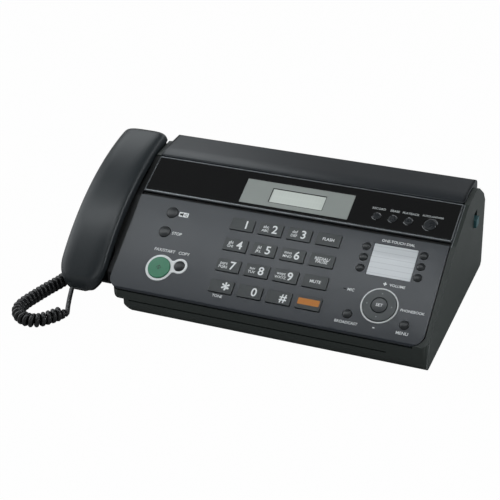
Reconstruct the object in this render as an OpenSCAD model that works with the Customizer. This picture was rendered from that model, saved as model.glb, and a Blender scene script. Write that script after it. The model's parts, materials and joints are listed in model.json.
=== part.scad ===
// Desk fax machine with a corded handset, in millimetres, +Z up.
// Origin: middle of the object's footprint, on the surface that it stands on.
// The front faces -Y and the handset lies on the -X side.

/* [Body] */
// Width of the control panel and of the whole opening cover
panel_w = 300; // [290:1:320]
// Depth of the sloping rear deck behind the cover's slot
deck_run = 10; // [8:1:20]
// Thickness of the outer walls and plates
wall = 2.5; // [2:0.1:3]
// Thickness of the right side wall with its rim
side_t = 4.6; // [4.2:0.1:6]
// Running gap between the cover and the side walls
side_gap = 0.3; // [0.2:0.05:0.6]
// Radius of the case's upright front right corner
corner_r = 5; // [3:0.5:6]
// Radius of the case's upright front left corner
left_r = 7; // [5:0.5:8]
// Height of the rubber feet
foot_h = 1.5; // [1:0.5:4]
// Radius of a rubber foot
foot_r = 8; // [5:0.5:10]
// Height at which the panel's surface meets the front
panel_z = 26.4; // [26:0.2:30]
// Rise of the control panel, in degrees
panel_tilt = 33.4; // [31:0.2:35]
// Length of the control panel along its slope
panel_len = 97.6; // [96:0.2:99]
// Rise of the display band, in degrees
band_tilt = 23.3; // [21:0.1:24]
// Length of the display band along its slope, with its lower gap
band_len = 48; // [46.8:0.2:49]
// Dark gap between the panel and the display band
band_gap = 4.5; // [3:0.5:5]
// Width of the lower bright strip of the band
strip_w = 2.5; // [1.5:0.5:3]
// Depth of the top cover, front to back
cover_d = 48; // [44:1:50]

/* [Buttons] */
// Gap between keypad columns
key_gap_x = 4.9; // [3:0.1:6]
// Depth of a keypad key
key_d = 12.4; // [9:0.1:15]
// Free length of the panel behind the keypad's last row
key_margin = 8.3; // [7:0.1:10]
// Height of a button above its panel
button_up = 1.2; // [0.8:0.1:2]
// Travel of a button
button_travel = 1.5; // [0.8:0.1:1.8]
// Gap between a button and its hole
button_gap = 0.3; // [0.2:0.05:0.4]
// Radius of the green start button
start_r = 10.6; // [8:0.1:11]
// Radius of the copy button
copy_r = 5; // [4:0.1:6]
// Radius of the navigator disc
nav_r = 15.2; // [12:0.1:16]
// Radius of the set button inside the navigator
set_r = 7; // [5:0.1:9]
// Radius of a one-touch button
touch_r = 3.7; // [2.5:0.1:4]

/* [Handset] */
// Length of the handset
handset_len = 187; // [175:1:195]
// Width of the handset
handset_w = 46; // [42:1:48]
// Slope of the handset in its cradle, in degrees
handset_tilt = 29; // [27:0.5:31]
// Gap between the handset and the cradle's side rim
handset_gap = 6; // [5.5:0.1:9]
// Height of the arched back above the handset's base line
handset_rise = 30; // [28:0.5:34]
// Radius of the arch of the back
handset_arch = 235; // [225:5:320]

/* [Paper] */
// Radius of the paper roll
roll_r = 26; // [15:0.5:27]
// Width of the paper
paper_w = 216; // [200:1:218]
// Radius of the platen roller
platen_r = 8; // [6:0.1:8.5]
// Radius of the feed roller
feed_r = 6; // [4:0.1:6.5]
// Radius of the roller shafts
shaft_r = 3; // [2:0.1:3.5]
// Radial clearance of a shaft in its bearing
shaft_gap = 0.05; // [0.02:0.01:0.1]

/* [Handset cord] */
// Outer diameter of the curly part
curl_od = 13; // [11:0.5:14]
// Diameter of the straight cord
cord_od = 4; // [3:0.1:5]

/* [Hidden] */
$fn = 48;
eps = 0.01;
fit_gap = 0.3;

// Corners of the body's side profile, as [y, z] from the front wall and the ground.
panel_top = [panel_len * cos(panel_tilt), panel_z + panel_len * sin(panel_tilt)];
band_top = panel_top + band_len * [cos(band_tilt), sin(band_tilt)];
cover_y0 = band_top[0] + 1.4;
cover_y1 = cover_y0 + cover_d;
cover_top_z = band_top[1] + 4;
// The seam under the panel, and the round front edge that is the cover's hinge.
edge_r = 2;
hinge = [edge_r, panel_z + edge_r * tan(panel_tilt) - edge_r / cos(panel_tilt)];
seam_z = hinge[1] - edge_r - 0.5;
floor_z = foot_h + wall;
// The slot behind the cover, the case's whole depth and its rear edges.
slot_w = 5;
deck_y = cover_y1 + slot_w;
case_d = round(deck_y + deck_run);
shoulder = [case_d - 26, cover_top_z - 6.4];
rear_bend = [case_d - 7.4, cover_top_z - 20.5];
rear_top = [case_d, cover_top_z - 31];
// The sloping deck that runs from the slot to the rear wall.
deck_drop = 0.3;
rear_fall = (shoulder[1] - rear_bend[1]) / (rear_bend[0] - shoulder[0]);
deck_front = [deck_y, shoulder[1] - (deck_y - shoulder[0]) * rear_fall - deck_drop];
deck_angle = atan2(deck_front[1] - rear_top[1], rear_top[0] - deck_front[0]);
chamfer = [3, 7.5];
rear_chamfer = 3;

// Side to side, as x from the panel's right edge.
right_in = side_gap;
right_out = side_gap + side_t;
left_in = -panel_w - side_gap;
left_out = left_in - side_t;
front_left = -panel_w + 4;
tier_x = front_left + 12;
foot_x = tier_x + 7;
tub_in = tier_x + 6.5;
wing_y = 46;
wing_x = left_out - 38;

// The cradle's frame: s runs up its slope, t is square to it. The handset lies hand_lead up it.
hand_y = -6;
hand_z = 12;
hand_x1 = -panel_w - handset_gap;
hand_x = hand_x1 - handset_w / 2;
arch_s = 86;
hand_lead = 5;
lever_out = 2.5;

// Where the body's frame sits in the part's frame: the origin is in the middle of the footprint,
// which the handset's nose stretches to the front.
nose_reach = 3.25;
nose_over = nose_reach - hand_y - hand_lead * cos(handset_tilt);
x_off = -(hand_x1 - handset_w + right_out + lever_out) / 2;
y_off = -(case_d - nose_over) / 2;

// Rollers, as [y, z].
roll_axis = [128, floor_z + 31];
platen_axis = [158, 76];
bay_x0 = -panel_w / 2 - 4 - paper_w / 2 - 2;
bay_x1 = -panel_w / 2 - 4 + paper_w / 2 + 2;
bay_mid = (bay_x0 + bay_x1) / 2;
bay_wall = 2;
bay_front = [100, 44];
bay_back = [174, 60];
bay_ears = [142, 146, 170];
bay_ear_up = 8;
sensor_top = 38;
feed_axis = [60, sensor_top + fit_gap + feed_r];

// Buttons on the panel: [x, s] along the slope.
keypad_side = [97, 96.7];
keypad = [-panel_w + keypad_side[0], 13];
key_w = (panel_w - keypad_side[0] - keypad_side[1] - 3 * key_gap_x) / 4;
key_pitch_x = key_w + key_gap_x;
key_pitch_y = (panel_len - keypad[1] - key_margin - key_d) / 3;
spk_at = [-panel_w + 37.1, panel_len - 14];
stop_at = [-panel_w + 36.5, panel_len - 34.6];
round_r = 5.6;
start_at = [-panel_w + 43.9, 26.3];
copy_at = [-panel_w + 62.6, 31.3];
surround_w = 2.6;
nav_at = [-46.1, 29.8];
nav_ring_w = 1.7;
card_margin = 8.8;
card_at = [-66.5, 57.2];
card_size = [40.7, panel_len - card_margin - card_at[1]];
touch_x = [-72.8, -20.3];
touch_s = [for (back = [13.5, 24.5, 35.3]) panel_len - back];
broadcast_at = [-71.7, 16.8];
menu_at = [-20.3, 16.4];
small_r = 4.1;
mic_at = [-80.5, 40.1];
plate_t = 2.5;
flange = 1;
flange_t = 1.2;
board_depth = 6.2;
board_t = 1.6;

// Buttons and windows on the band: [x, s] from the band's lower edge.
label_at = [-204.3, 10];
label_size = [106, 28.5];
window_at = [-177, 14.9];
window_size = [53, 17.1];
answer_x = [-73.1, -58.2, -43.6];
answer_s = 19;
answer_r = 3.5;
auto_at = [-23.6, 19.2];
auto_r = 5.6;

// Routes of the cord, with x from the panel's left edge.
coil_z = curl_od / 2;
coil_route = [[-58, 62], [-63, 47], [-69, 31], [-78, 12], [-86, -5], [-89, -18], [-86, -32],
    [-78, -45], [-66, -55], [-53, -61], [-41, -61], [-32, -54], [-27, -44]];
jack_at = [wing_x, 78, 14];
jack_hole = [12, 10];
tail_in = [[-43, 78, 14], [-48, 78, 13], [-53, 75, 9], [-56, 69.5, 6.8], [-57, 65, coil_z],
    [-58, 62, coil_z]];
tail_out = [[-27, -44, coil_z], [-25.5, -41, coil_z], [-25, -36, 7.5], [-26.5, -29, 9.5],
    [-30, -20, 12.3], [-33.5, -11.5, 15.6], [-34.5, -5.6, 18.4]];

// ---------------------------------------------------------------- frames

module placed() {
    translate([x_off, y_off, 0]) children();
}

// A side profile of [y, z] points, drawn from x0 to x1.
module slab(x0, x1, points) {
    translate([x0, 0, 0])
        rotate([90, 0, 90])
            linear_extrude(x1 - x0)
                polygon(points);
}

// The panel's frame: x, then s up the slope, then out of the surface.
module on_panel() {
    translate([0, 0, panel_z])
        rotate([panel_tilt, 0, 0]) children();
}

module on_band() {
    translate([0, panel_top[0], panel_top[1]])
        rotate([band_tilt, 0, 0]) children();
}

// The handset's frame: x across, s along, t out of the cradle.
module on_cradle() {
    translate([hand_x, hand_y, hand_z])
        rotate([handset_tilt, 0, 0]) children();
}

// A round bar or bore along X, at the point [y, z].
module bar(x0, x1, at, r) {
    translate([x0, at[0], at[1]])
        rotate([0, 90, 0]) cylinder(r = r, h = x1 - x0);
}

module block(low, high) {
    translate(low) cube(high - low);
}

// ---------------------------------------------------------------- lower case

crest = [band_top[0] + 30, band_top[1] + 1.6];
rim_line = [[0, panel_z], panel_top, band_top, crest, shoulder, rear_bend, rear_top];

module side_profile(x0, x1) {
    slab(x0, x1, concat([[chamfer[0], foot_h], [0, foot_h + chamfer[1]]], rim_line,
        [[case_d, foot_h + rear_chamfer], [case_d - rear_chamfer, foot_h]]));
}

// The lines of the left wall: it starts at the wing and passes under the cradle's rim.
rim_drop = 1.2;
rim_y = 12;
rim_front_low = 20.3;
rim_bend_y = 30;
function panel_surface(y) = y < panel_top[0] ? panel_z + y * tan(panel_tilt)
    : panel_top[1] + (y - panel_top[0]) * tan(band_tilt);

module left_side() {
    y1 = band_top[0] + 2;
    top = cradle_floor_t - fit_gap;
    slab(left_out, left_in, [[wing_y, foot_h], [wing_y, cradle_plane(wing_y, top)],
        [y1, cradle_plane(y1, top)], [y1, band_top[1]], crest, shoulder, rear_bend, rear_top,
        [case_d, foot_h + rear_chamfer], [case_d - rear_chamfer, foot_h]]);
}

// Height of the cradle's bearing plane over a point y.
cradle_floor_t = -16;
function cradle_plane(y, t) = hand_z + (y - hand_y) * tan(handset_tilt) + t / cos(handset_tilt);

module wing_form(inset) {
    top = cradle_floor_t - inset * 1.2;
    y0 = wing_y + inset;
    y1 = case_d - inset;
    slab(wing_x + inset, left_out + (inset > 0 ? side_t - wall : 0),
        [[y0, foot_h + inset], [y0, cradle_plane(y0, top)], [case_d - 34, cradle_plane(case_d - 34, top)],
        [y1, rear_top[1] - inset], [y1, foot_h + inset]]);
}

slit_x = [-panel_w + 21, -32];
slit_z = [13.2, 14.4];

// The front's left end as [x, z]: an upper tier down to the slit, and a narrower tier under it.
left_end = [[front_left, seam_z + 1], [front_left, slit_z[1] + 4.8], [front_left + 0.9, slit_z[1] + 2.6],
    [front_left + 3, slit_z[1] + 0.8], [front_left + 6, slit_z[1]], [tier_x, slit_z[1]],
    [tier_x, foot_h + 7.5], [tier_x + 1, foot_h + 4.6], [tier_x + 3.4, foot_h + 1.6],
    [foot_x, foot_h - 0.6]];

module front_tub() {
    intersection() {
        slab(front_left - 1, right_out, [[chamfer[0], foot_h], [0, foot_h + chamfer[1]], [0, seam_z],
            [wing_y + wall, seam_z], [wing_y + wall, foot_h]]);
        corner_plan();
        translate([0, wing_y + wall + 1, 0])
            rotate([90, 0, 0])
                linear_extrude(wing_y + wall + 2)
                    polygon(concat(left_end, [[right_out + 1, foot_h - 0.6], [right_out + 1, seam_z + 1]]));
    }
}

plan_h = 200;
plan_out = 80;
room_top = 60;

module corner_plan() {
    r = corner_r;
    q = left_r;
    linear_extrude(plan_h)
        union() {
            translate([-panel_w - plan_out, q]) square([panel_w + plan_out + right_out - r, case_d - q]);
            translate([front_left + q, 0]) square([right_out - r - front_left - q, q + 1]);
            translate([-r - 1, r]) square([right_out + r + 1, case_d - r]);
            translate([right_out - r, r]) circle(r = r);
            translate([front_left + q, q]) circle(r = q);
        }
}

// The case's corner round the panel's front right corner, a little below its surface.
rim_low = 1.2;
corner_back = 9.4;

module panel_corner() {
    r = panel_r_right;
    difference() {
        intersection() {
            slab(-r, right_in + 1, [[0, seam_z - 1], [0, panel_z - rim_low],
                [corner_back, panel_surface(corner_back) - rim_low], [corner_back, seam_z - 1]]);
            corner_plan();
        }
        on_panel()
            translate([-r, edge_s + r, -panel_z])
                cylinder(r = r + side_gap, h = 2 * panel_z);
    }
}

module screw_post(at, top) {
    difference() {
        translate([at[0], at[1], floor_z - eps]) cylinder(r = post_r, h = top - floor_z);
        translate([at[0], at[1], foot_h]) cylinder(r = screw_r + shaft_gap, h = top);
    }
}

foot_back = case_d - 18;
foot_at = [[-panel_w + 40, 20], [-14, 20], [-panel_w - 26, foot_back], [-14, foot_back]];
screw_r = 1.5;
screw_head_r = 3;
screw_recess = 1.4;
screw_len = 9;
post_r = 4;
screw_post_top = 14;
screw_back = case_d - 14;
screw_at = [[-panel_w + 30, 70], [-30, 70], [-panel_w + 20, screw_back], [-20, screw_back]];
board_post_at = [[-panel_w + 30, 16], [-panel_w / 2, 44], [-30, 16]];
board_z = 8;
sensor_post_x = [bay_x0 - 3, bay_x1 + 3];
sensor_y = [51, 69];
sensor_low = sensor_top - 12;

module lower_case() placed() color("#5b6260") {
    difference() {
        union() {
            intersection() {
                side_profile(right_in, right_out);
                corner_plan();
            }
            front_tub();
            left_side();
            wing_form(0);
            // Main tub behind the front part.
            intersection() {
                slab(left_in, right_in, [[wing_y, foot_h], [wing_y, seam_z], [case_d, seam_z],
                    [case_d, foot_h + rear_chamfer], [case_d - rear_chamfer, foot_h]]);
                corner_plan();
            }
            // Rear wall with its sloping deck.
            slab(left_in, right_in, [[case_d - wall, seam_z - eps], [case_d - wall, rear_top[1] - 1],
                [deck_y, deck_front[1] - 2 * wall], deck_front, rear_top, [case_d, seam_z - eps]]);
        }
        // Inside of the tub, in its narrow front part with the tier above, and its full rear part.
        block([tub_in, wall, floor_z], [right_in, wing_y + wall + 1, room_top]);
        block([front_left + 2 * wall, wall, slit_z[1] + wall], [tub_in + 1, wing_y + wall + 1, room_top]);
        block([left_in, wing_y + wall, floor_z], [right_in, case_d - wall, seam_z + 5]);
        wing_form(wall);
        // Room above the seam for the cover.
        block([left_in, -1, seam_z], [right_in, wing_y + wall + 1, room_top]);
        // Slit that the documents leave by.
        block([slit_x[0], -1, slit_z[0]], [slit_x[1], wall + 1, slit_z[1]]);
        lever_slot();
        rear_holes();
        for (at = screw_at) {
            translate([at[0], at[1], 0]) cylinder(r = screw_head_r + fit_gap, h = foot_h + screw_recess);
            translate([at[0], at[1], 0]) cylinder(r = screw_r + shaft_gap, h = 10);
        }
        // Hole of the handset's socket in the wing.
        block([wing_x - 1, jack_at[1] - jack_hole[0] / 2, jack_at[2] - jack_hole[1] / 2],
            [wing_x + wall + 1, jack_at[1] + jack_hole[0] / 2, jack_at[2] + jack_hole[1] / 2]);
    }
    for (at = screw_at) screw_post(at, screw_post_top);
    for (at = board_post_at)
        translate([at[0], at[1], floor_z - eps]) cylinder(r = 3, h = board_z - floor_z + eps);
    for (x = sensor_post_x)
        block([x - 3, sensor_y[0] + 4, floor_z - eps], [x + 3, sensor_y[1] - 4, sensor_low]);
    bay_partition(bay_x0 - bay_wall);
    bay_partition(bay_x1);
    for (x = [bay_x0 + 30, bay_mid, bay_x1 - 30]) roll_saddle(x);
    for (x = hinge_hook_x) hinge_hook(x);
    panel_corner();
}

lever_y = [147.5, 157.5];
lever_z = [64, 72];
lever_travel = 6;
lever_plate_t = 1.6;

module lever_slot() {
    block([right_in - 1, lever_y[0] - 6, lever_z[0] - 8],
        [right_in + lever_plate_t + 0.6, lever_y[1] + 6, lever_z[1] + lever_travel + 6]);
    block([right_in, lever_y[0] - 0.6, lever_z[0] - 0.6],
        [right_out + 1, lever_y[1] + 0.6, lever_z[1] + lever_travel + 0.6]);
}

line_jack_x = [-panel_w - 30, -panel_w - 12];
jack_size = [12, 10];
jack_z = 20;
inlet_at = [-60, 24];
inlet_size = [22, 10];

module rear_holes() {
    for (x = line_jack_x)
        block([x - jack_size[0] / 2, case_d - wall - 1, jack_z - jack_size[1] / 2],
            [x + jack_size[0] / 2, case_d + 1, jack_z + jack_size[1] / 2]);
    block([inlet_at[0] - inlet_size[0] / 2, case_d - wall - 1, inlet_at[1] - inlet_size[1] / 2],
        [inlet_at[0] + inlet_size[0] / 2, case_d + 1, inlet_at[1] + inlet_size[1] / 2]);
}

module bay_partition(x) {
    difference() {
        slab(x, x + bay_wall, [[bay_front[0], floor_z - eps], bay_front, [bay_ears[0], bay_back[1]],
            [bay_ears[1], platen_axis[1] + bay_ear_up], [bay_ears[2], platen_axis[1] + bay_ear_up],
            bay_back, [bay_back[0], floor_z - eps]]);
        bar(x - 1, x + bay_wall + 1, platen_axis, shaft_r + shaft_gap);
    }
}

module roll_saddle(x) {
    difference() {
        block([x - 1.5, roll_axis[0] - 20, floor_z - eps], [x + 1.5, roll_axis[0] + 20, roll_axis[1] - 8]);
        bar(x - 3, x + 3, roll_axis, roll_r + fit_gap);
    }
}

hinge_hook_x = [-panel_w + 30, -panel_w / 2, -16];
hinge_hook_w = 8;

// A hook of the case that cups the cover's round front edge from behind and below.
module hinge_hook(x) {
    difference() {
        slab(x, x + hinge_hook_w, [[wall - eps, seam_z - 6], [wall - eps, seam_z - 0.1],
            [hinge[0] + 1, seam_z - 0.1],
            [hinge[0] + 2.6, hinge[1]], [hinge[0] + 4, hinge[1]], [hinge[0] + 4, seam_z - 6]]);
        bar(x - 1, x + hinge_hook_w + 1, hinge, edge_r + fit_gap);
    }
}

module rubber_feet() placed() color("#202020") {
    for (at = foot_at)
        translate([at[0], at[1], 0]) cylinder(r = foot_r, h = foot_h);
}

module case_screws() placed() color("silver") {
    for (at = screw_at) {
        translate([at[0], at[1], foot_h + 0.2]) cylinder(r = screw_head_r, h = screw_recess - 0.2);
        translate([at[0], at[1], foot_h + screw_recess - 0.1]) cylinder(r = screw_r, h = screw_len);
    }
}

// ---------------------------------------------------------------- cradle

mouth_well = [22, 49];
ear_well = [140, 186];
well_t = [-3.3, -10.3];
well_wall = [4, 7];
tray_low = [50, 60];
rim_y1 = band_top[0] + 1.7;
hook_at = 163;
hook_r = 4;

module tray_profile() {
    polygon([[mouth_well[0], well_t[0]], [mouth_well[1], well_t[0]],
        [mouth_well[1] + 3, well_t[0] - well_wall[0]],
        [ear_well[0] - 3, well_t[1]], [ear_well[1], well_t[1]], [ear_well[1], cradle_floor_t],
        [tray_low[1], cradle_floor_t], [tray_low[0], well_t[0] - well_wall[1]],
        [mouth_well[0], well_t[0] - well_wall[0]]]);
}

module handset_cradle() placed() color("#1c1d1f") {
    difference() {
        union() {
            on_cradle()
                translate([wing_x - hand_x, 0, 0])
                    rotate([90, 0, 90])
                        linear_extrude(left_out - side_gap - wing_x + eps) tray_profile();
            // Rim beside the panel, just below its surface.
            slab(left_out - side_gap, left_in, [[rim_y, panel_surface(rim_y) - rim_drop],
                [rim_y, rim_front_low], [rim_bend_y, cradle_plane(rim_bend_y, well_t[0] - 4)],
                [wing_y, cradle_plane(wing_y, cradle_floor_t)],
                [rim_y1, cradle_plane(rim_y1, cradle_floor_t)], [rim_y1, band_top[1] - rim_drop],
                [band_top[0], band_top[1] - rim_drop], [panel_top[0], panel_top[1] - rim_drop]]);
        }
        on_cradle()
            translate([0, hook_at, cradle_floor_t - 1]) cylinder(r = hook_r + fit_gap, h = 20);
    }
}

module hook_switch() placed() color("#2a2b2d") {
    on_cradle()
        translate([0, hook_at, cradle_floor_t + fit_gap])
            cylinder(r = hook_r, h = ear_cup_t - cradle_floor_t - 2 * fit_gap);
}

// ---------------------------------------------------------------- inside

head_half = 9;
head_t = 6;

module thermal_head() placed() color("#b9b9b4") {
    top = platen_axis[1] - platen_r - fit_gap;
    block([bay_x0, platen_axis[0] - head_half, top - head_t], [bay_x1, platen_axis[0] + head_half, top - 1]);
    block([bay_x0 + 4, platen_axis[0] - 4, top - 1], [bay_x1 - 4, platen_axis[0] + 4, top]);
}

module image_sensor() placed() color("#3a3d40") {
    block([sensor_post_x[0] - 3, sensor_y[0], sensor_low],
        [sensor_post_x[1] + 3, sensor_y[1], sensor_top - 1.2]);
    block([bay_x0, sensor_y[0] + 4, sensor_top - 1.2], [bay_x1, sensor_y[1] - 4, sensor_top]);
}

socket_wall = 2;

// A hollow socket that is open to the rear.
module socket(x, y, z, size, depth, gap) {
    rim = gap + socket_wall;
    difference() {
        block([x - size[0] / 2 + gap, y - depth, z - size[1] / 2 + gap],
            [x + size[0] / 2 - gap, y, z + size[1] / 2 - gap]);
        block([x - size[0] / 2 + rim, y - depth + socket_wall, z - size[1] / 2 + rim],
            [x + size[0] / 2 - rim, y + 1, z + size[1] / 2 - rim]);
    }
}

main_board_x = [-panel_w + 24, -20];
main_board_y = [8, 48];
chip_size = [22, 18, 4];
chip_x = -panel_w + 50;
chip_step = 55;
supply_y = 70;
supply_top = floor_z + 6;
socket_stand = [case_d - 12, case_d - 4];

module circuit_boards() placed() color("#2f6b45") {
    chip_y = 16;
    block([main_board_x[0], main_board_y[0], board_z],
        [main_board_x[1], main_board_y[1], board_z + board_t]);
    for (i = [0 : 3])
        translate([chip_x + chip_step * i, chip_y, board_z + board_t]) cube(chip_size);
    // Supply board in the wing, with the handset's and the line's sockets and the mains inlet.
    block([wing_x + wall + fit_gap, supply_y, floor_z], [left_in - side_t, case_d - wall - 1, supply_top]);
    block([wing_x + fit_gap, jack_at[1] - jack_hole[0] / 2 + fit_gap, supply_top],
        [wing_x + 13, jack_at[1] + jack_hole[0] / 2 - fit_gap, jack_at[2] + jack_hole[1] / 2 - fit_gap]);
    for (x = line_jack_x) {
        socket(x, case_d - 0.2, jack_z, jack_size, 14, 0.2);
        block([x - 5, socket_stand[0], supply_top - eps],
            [x + 5, socket_stand[1], jack_z - jack_size[1] / 2 + fit_gap]);
    }
    socket(inlet_at[0], case_d - 0.2, inlet_at[1], inlet_size, 16, 0.2);
    block([inlet_at[0] - 8, socket_stand[0], floor_z],
        [inlet_at[0] + 8, socket_stand[1], inlet_at[1] - inlet_size[1] / 2 + fit_gap]);
}

motor_at = [134, 38];
motor_r = 17;
motor_len = 17;
motor_plate = [24, 12];

module drive_motor() placed() color("#9a9c9e") {
    x0 = bay_x1 + bay_wall;
    block([x0, motor_at[0] - motor_plate[0], motor_at[1] - motor_plate[1]],
        [x0 + flange_t, motor_at[0] + motor_plate[0], motor_at[1] + motor_plate[1]]);
    bar(x0 + flange_t, x0 + motor_len, motor_at, motor_r);
    bar(x0 + motor_len, x0 + motor_len + 5, motor_at, 4);
}

core_r = 7;

module paper_roll() placed() color("white") {
    difference() {
        bar(bay_mid - paper_w / 2, bay_mid + paper_w / 2, roll_axis, roll_r);
        bar(bay_mid - paper_w / 2 - 1, bay_mid + paper_w / 2 + 1, roll_axis, core_r);
    }
}

platen_stub = [5, 12];
gear_r = 11;
gear_x = [3, 9];

module platen_roller() placed() color("#2a2a2a") {
    bar(bay_x0 + 2, bay_x1 - 2, platen_axis, platen_r);
    bar(bay_x0 - platen_stub[0], bay_x1 + platen_stub[1], platen_axis, shaft_r);
    bar(bay_x1 + bay_wall + gear_x[0], bay_x1 + bay_wall + gear_x[1], platen_axis, gear_r);
}

tyre_x = 14;
tyre_w = 18;
tyre_step = 44;

module feed_roller() placed() color("#3b3b3b") {
    for (i = [0 : 4])
        bar(bay_x0 + tyre_x + i * tyre_step, bay_x0 + tyre_x + tyre_w + i * tyre_step, feed_axis, feed_r);
    bar(-panel_w + 0.4, -0.4, feed_axis, shaft_r);
}

// ---------------------------------------------------------------- opening cover

// The cheeks end inside the panel's plate and just under the band's plate.
cheek_top = plate_t * 1.12;
cheek_gap = 0.06;
function under_band(y) = panel_surface(y) - plate_t / cos(band_tilt) - cheek_gap;
cheek_front = hinge[0] + 9;
cheek_back = 3;
cheek_low = cover_top_z - 26;
cheek_bend = [panel_top[0] + 20, panel_top[1] - 18.1];

module cheek(x0) {
    difference() {
        slab(x0, x0 + wall, [[cheek_front, seam_z + 1], [40, seam_z + 1],
            [feed_axis[0] - 8, feed_axis[1] - 8], [feed_axis[0] + 8, feed_axis[1] - 8],
            cheek_bend, [cover_y1 - cheek_back, cheek_low],
            [cover_y1 - cheek_back, cover_top_z - cover_skirt], [cover_y0, cover_top_z - cover_skirt],
            [band_top[0] + 1, band_top[1] - 4], [band_top[0] - 1, under_band(band_top[0] - 1)],
            [panel_top[0] + 0.5, under_band(panel_top[0] + 0.5)],
            [panel_top[0] - 1, panel_top[1] - cheek_top],
            [cheek_front, panel_surface(cheek_front) - plate_t]]);
        bar(x0 - 1, x0 + wall + 1, feed_axis, shaft_r + shaft_gap);
    }
}

module rounded_plate(x0, y0, x1, y1, r_left, r_right) {
    translate([x0 + r_left, y0]) square([x1 - x0 - r_left - r_right, y1 - y0]);
    translate([x0, y0 + r_left]) square([r_left, y1 - y0 - r_left]);
    translate([x1 - r_right, y0 + r_right]) square([r_right, y1 - y0 - r_right]);
    translate([x0 + r_left, y0 + r_left]) circle(r = r_left);
    translate([x1 - r_right, y0 + r_right]) circle(r = r_right);
}

// Corner radii of the panel at its front, in its own plane.
panel_r_left = 8;
panel_r_right = 9;
edge_s = round(10 * (edge_r / cos(panel_tilt) - edge_r * tan(panel_tilt) + 1.4)) / 10;
barrel_end = 0.5;
card_lap = 0.4;
post_board_r = 2.5;
board_posts = [[-panel_w + 12, 50], [-panel_w + 12, 16], [-panel_w + 85, 50], [-90, 20],
    [-90, panel_len - 19.6], [-8, 50]];

module control_panel() placed() color("#4d5358") {
    on_panel()
        translate([0, 0, -plate_t])
            linear_extrude(plate_t)
                difference() {
                    rounded_plate(-panel_w, edge_s, 0, panel_len, panel_r_left, panel_r_right);
                    for (i = [0 : 15]) key_outline(i, button_gap);
                    for (b = panel_rounds) translate(b[0]) circle(r = b[1] + button_gap);
                    start_surround_shape(fit_gap / 2);
                    translate(nav_at) circle(r = nav_r + button_gap + nav_ring_w + 0.1);
                    translate(card_at) square(card_size);
                    translate(mic_at) square([3, 0.8], center = true);
                }
    // Round front edge, which is the hinge's barrel.
    bar(-panel_w + panel_r_left + barrel_end, -panel_r_right - barrel_end, hinge, edge_r);
    // Floors under the card and under the surrounds.
    on_panel()
        translate([card_at[0] - card_lap, card_at[1] - card_lap, -plate_t - 1])
            cube([card_size[0] + 2 * card_lap, card_size[1] + 2 * card_lap, 1]);
    cheek(-panel_w);
    cheek(-wall);
    on_panel()
        for (at = board_posts)
            translate([at[0], at[1], -board_depth]) cylinder(r = post_board_r, h = board_depth - plate_t);
    // Wall that closes the dark gap under the band.
    on_band()
        translate([-panel_w, -1, -plate_t - 2]) cube([panel_w, band_gap + 2, 1.5]);
}

panel_rounds = concat([[spk_at, round_r], [stop_at, round_r], [broadcast_at, small_r], [menu_at, small_r]],
    [for (x = touch_x) for (s = touch_s) [[x, s], touch_r]]);

// The neck between the two rings is hollowed with this radius on both sides.
neck_r = 3;
neck_n = 8;

neck_root = 0.6;

// One side of the neck, from inside the start ring to inside the copy ring, as [u, v].
function neck_side(side, grow) = let (a = start_r + surround_w, b = copy_r + surround_w,
    d = norm(copy_at - start_at), p = a + neck_r, q = b + neck_r,
    u = (d * d + p * p - q * q) / (2 * d), v = sqrt(p * p - u * u),
    a0 = atan2(-v, -u), a1 = atan2(-v, d - u), r = neck_r - grow)
    [for (i = [0 : neck_n]) let (t = a0 + (a1 - a0) * i / neck_n)
        i == 0 ? [u * (a - neck_root) / p, side * v * (a - neck_root) / p]
        : i == neck_n ? [d - (d - u) * (b - neck_root) / q, side * v * (b - neck_root) / q]
        : [u + r * cos(t), side * (v + r * sin(t))]];

module start_surround_shape(grow) {
    translate(start_at) circle(r = start_r + surround_w + grow);
    translate(copy_at) circle(r = copy_r + surround_w + grow);
    d = copy_at - start_at;
    upper = neck_side(1, grow);
    lower = neck_side(-1, grow);
    translate(start_at)
        rotate(atan2(d[1], d[0]))
            polygon(concat([[0, 0]], [for (i = [0 : neck_n]) lower[i]], [[norm(d), 0]],
                [for (i = [0 : neck_n]) upper[neck_n - i]]));
}

// Widths of the bright lines at the band's ends and along its top.
edge_w = 1.2;
top_w = 1.4;

module display_band() placed() color("#18191b") {
    on_band()
        translate([0, 0, -plate_t])
            linear_extrude(plate_t)
                difference() {
                    translate([-panel_w + edge_w, band_gap + strip_w])
                        square([panel_w - 2 * edge_w, band_len - band_gap - strip_w - top_w]);
                    translate(label_at) square(label_size);
                    for (x = answer_x) translate([x, answer_s]) circle(r = answer_r + button_gap);
                    translate(auto_at) circle(r = auto_r + button_gap);
                }
    on_band()
        for (x = band_post_x)
            translate([x, 34, -board_depth]) cylinder(r = 2, h = board_depth - plate_t);
}

lcd_depth = 4;

module lcd_module() placed() color("#8c9590") {
    on_band() {
        translate([0, 0, -plate_t])
            linear_extrude(plate_t - 0.2)
                difference() {
                    translate(label_at) square(label_size);
                    translate(window_at) square(window_size);
                }
        translate([label_at[0] - 3, label_at[1] - 2, -plate_t - lcd_depth])
            cube([label_size[0] + 6, label_size[1] + 4, lcd_depth]);
        translate([window_at[0], window_at[1], -plate_t - eps]) cube([window_size[0], window_size[1], 1.2]);
    }
}

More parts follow.
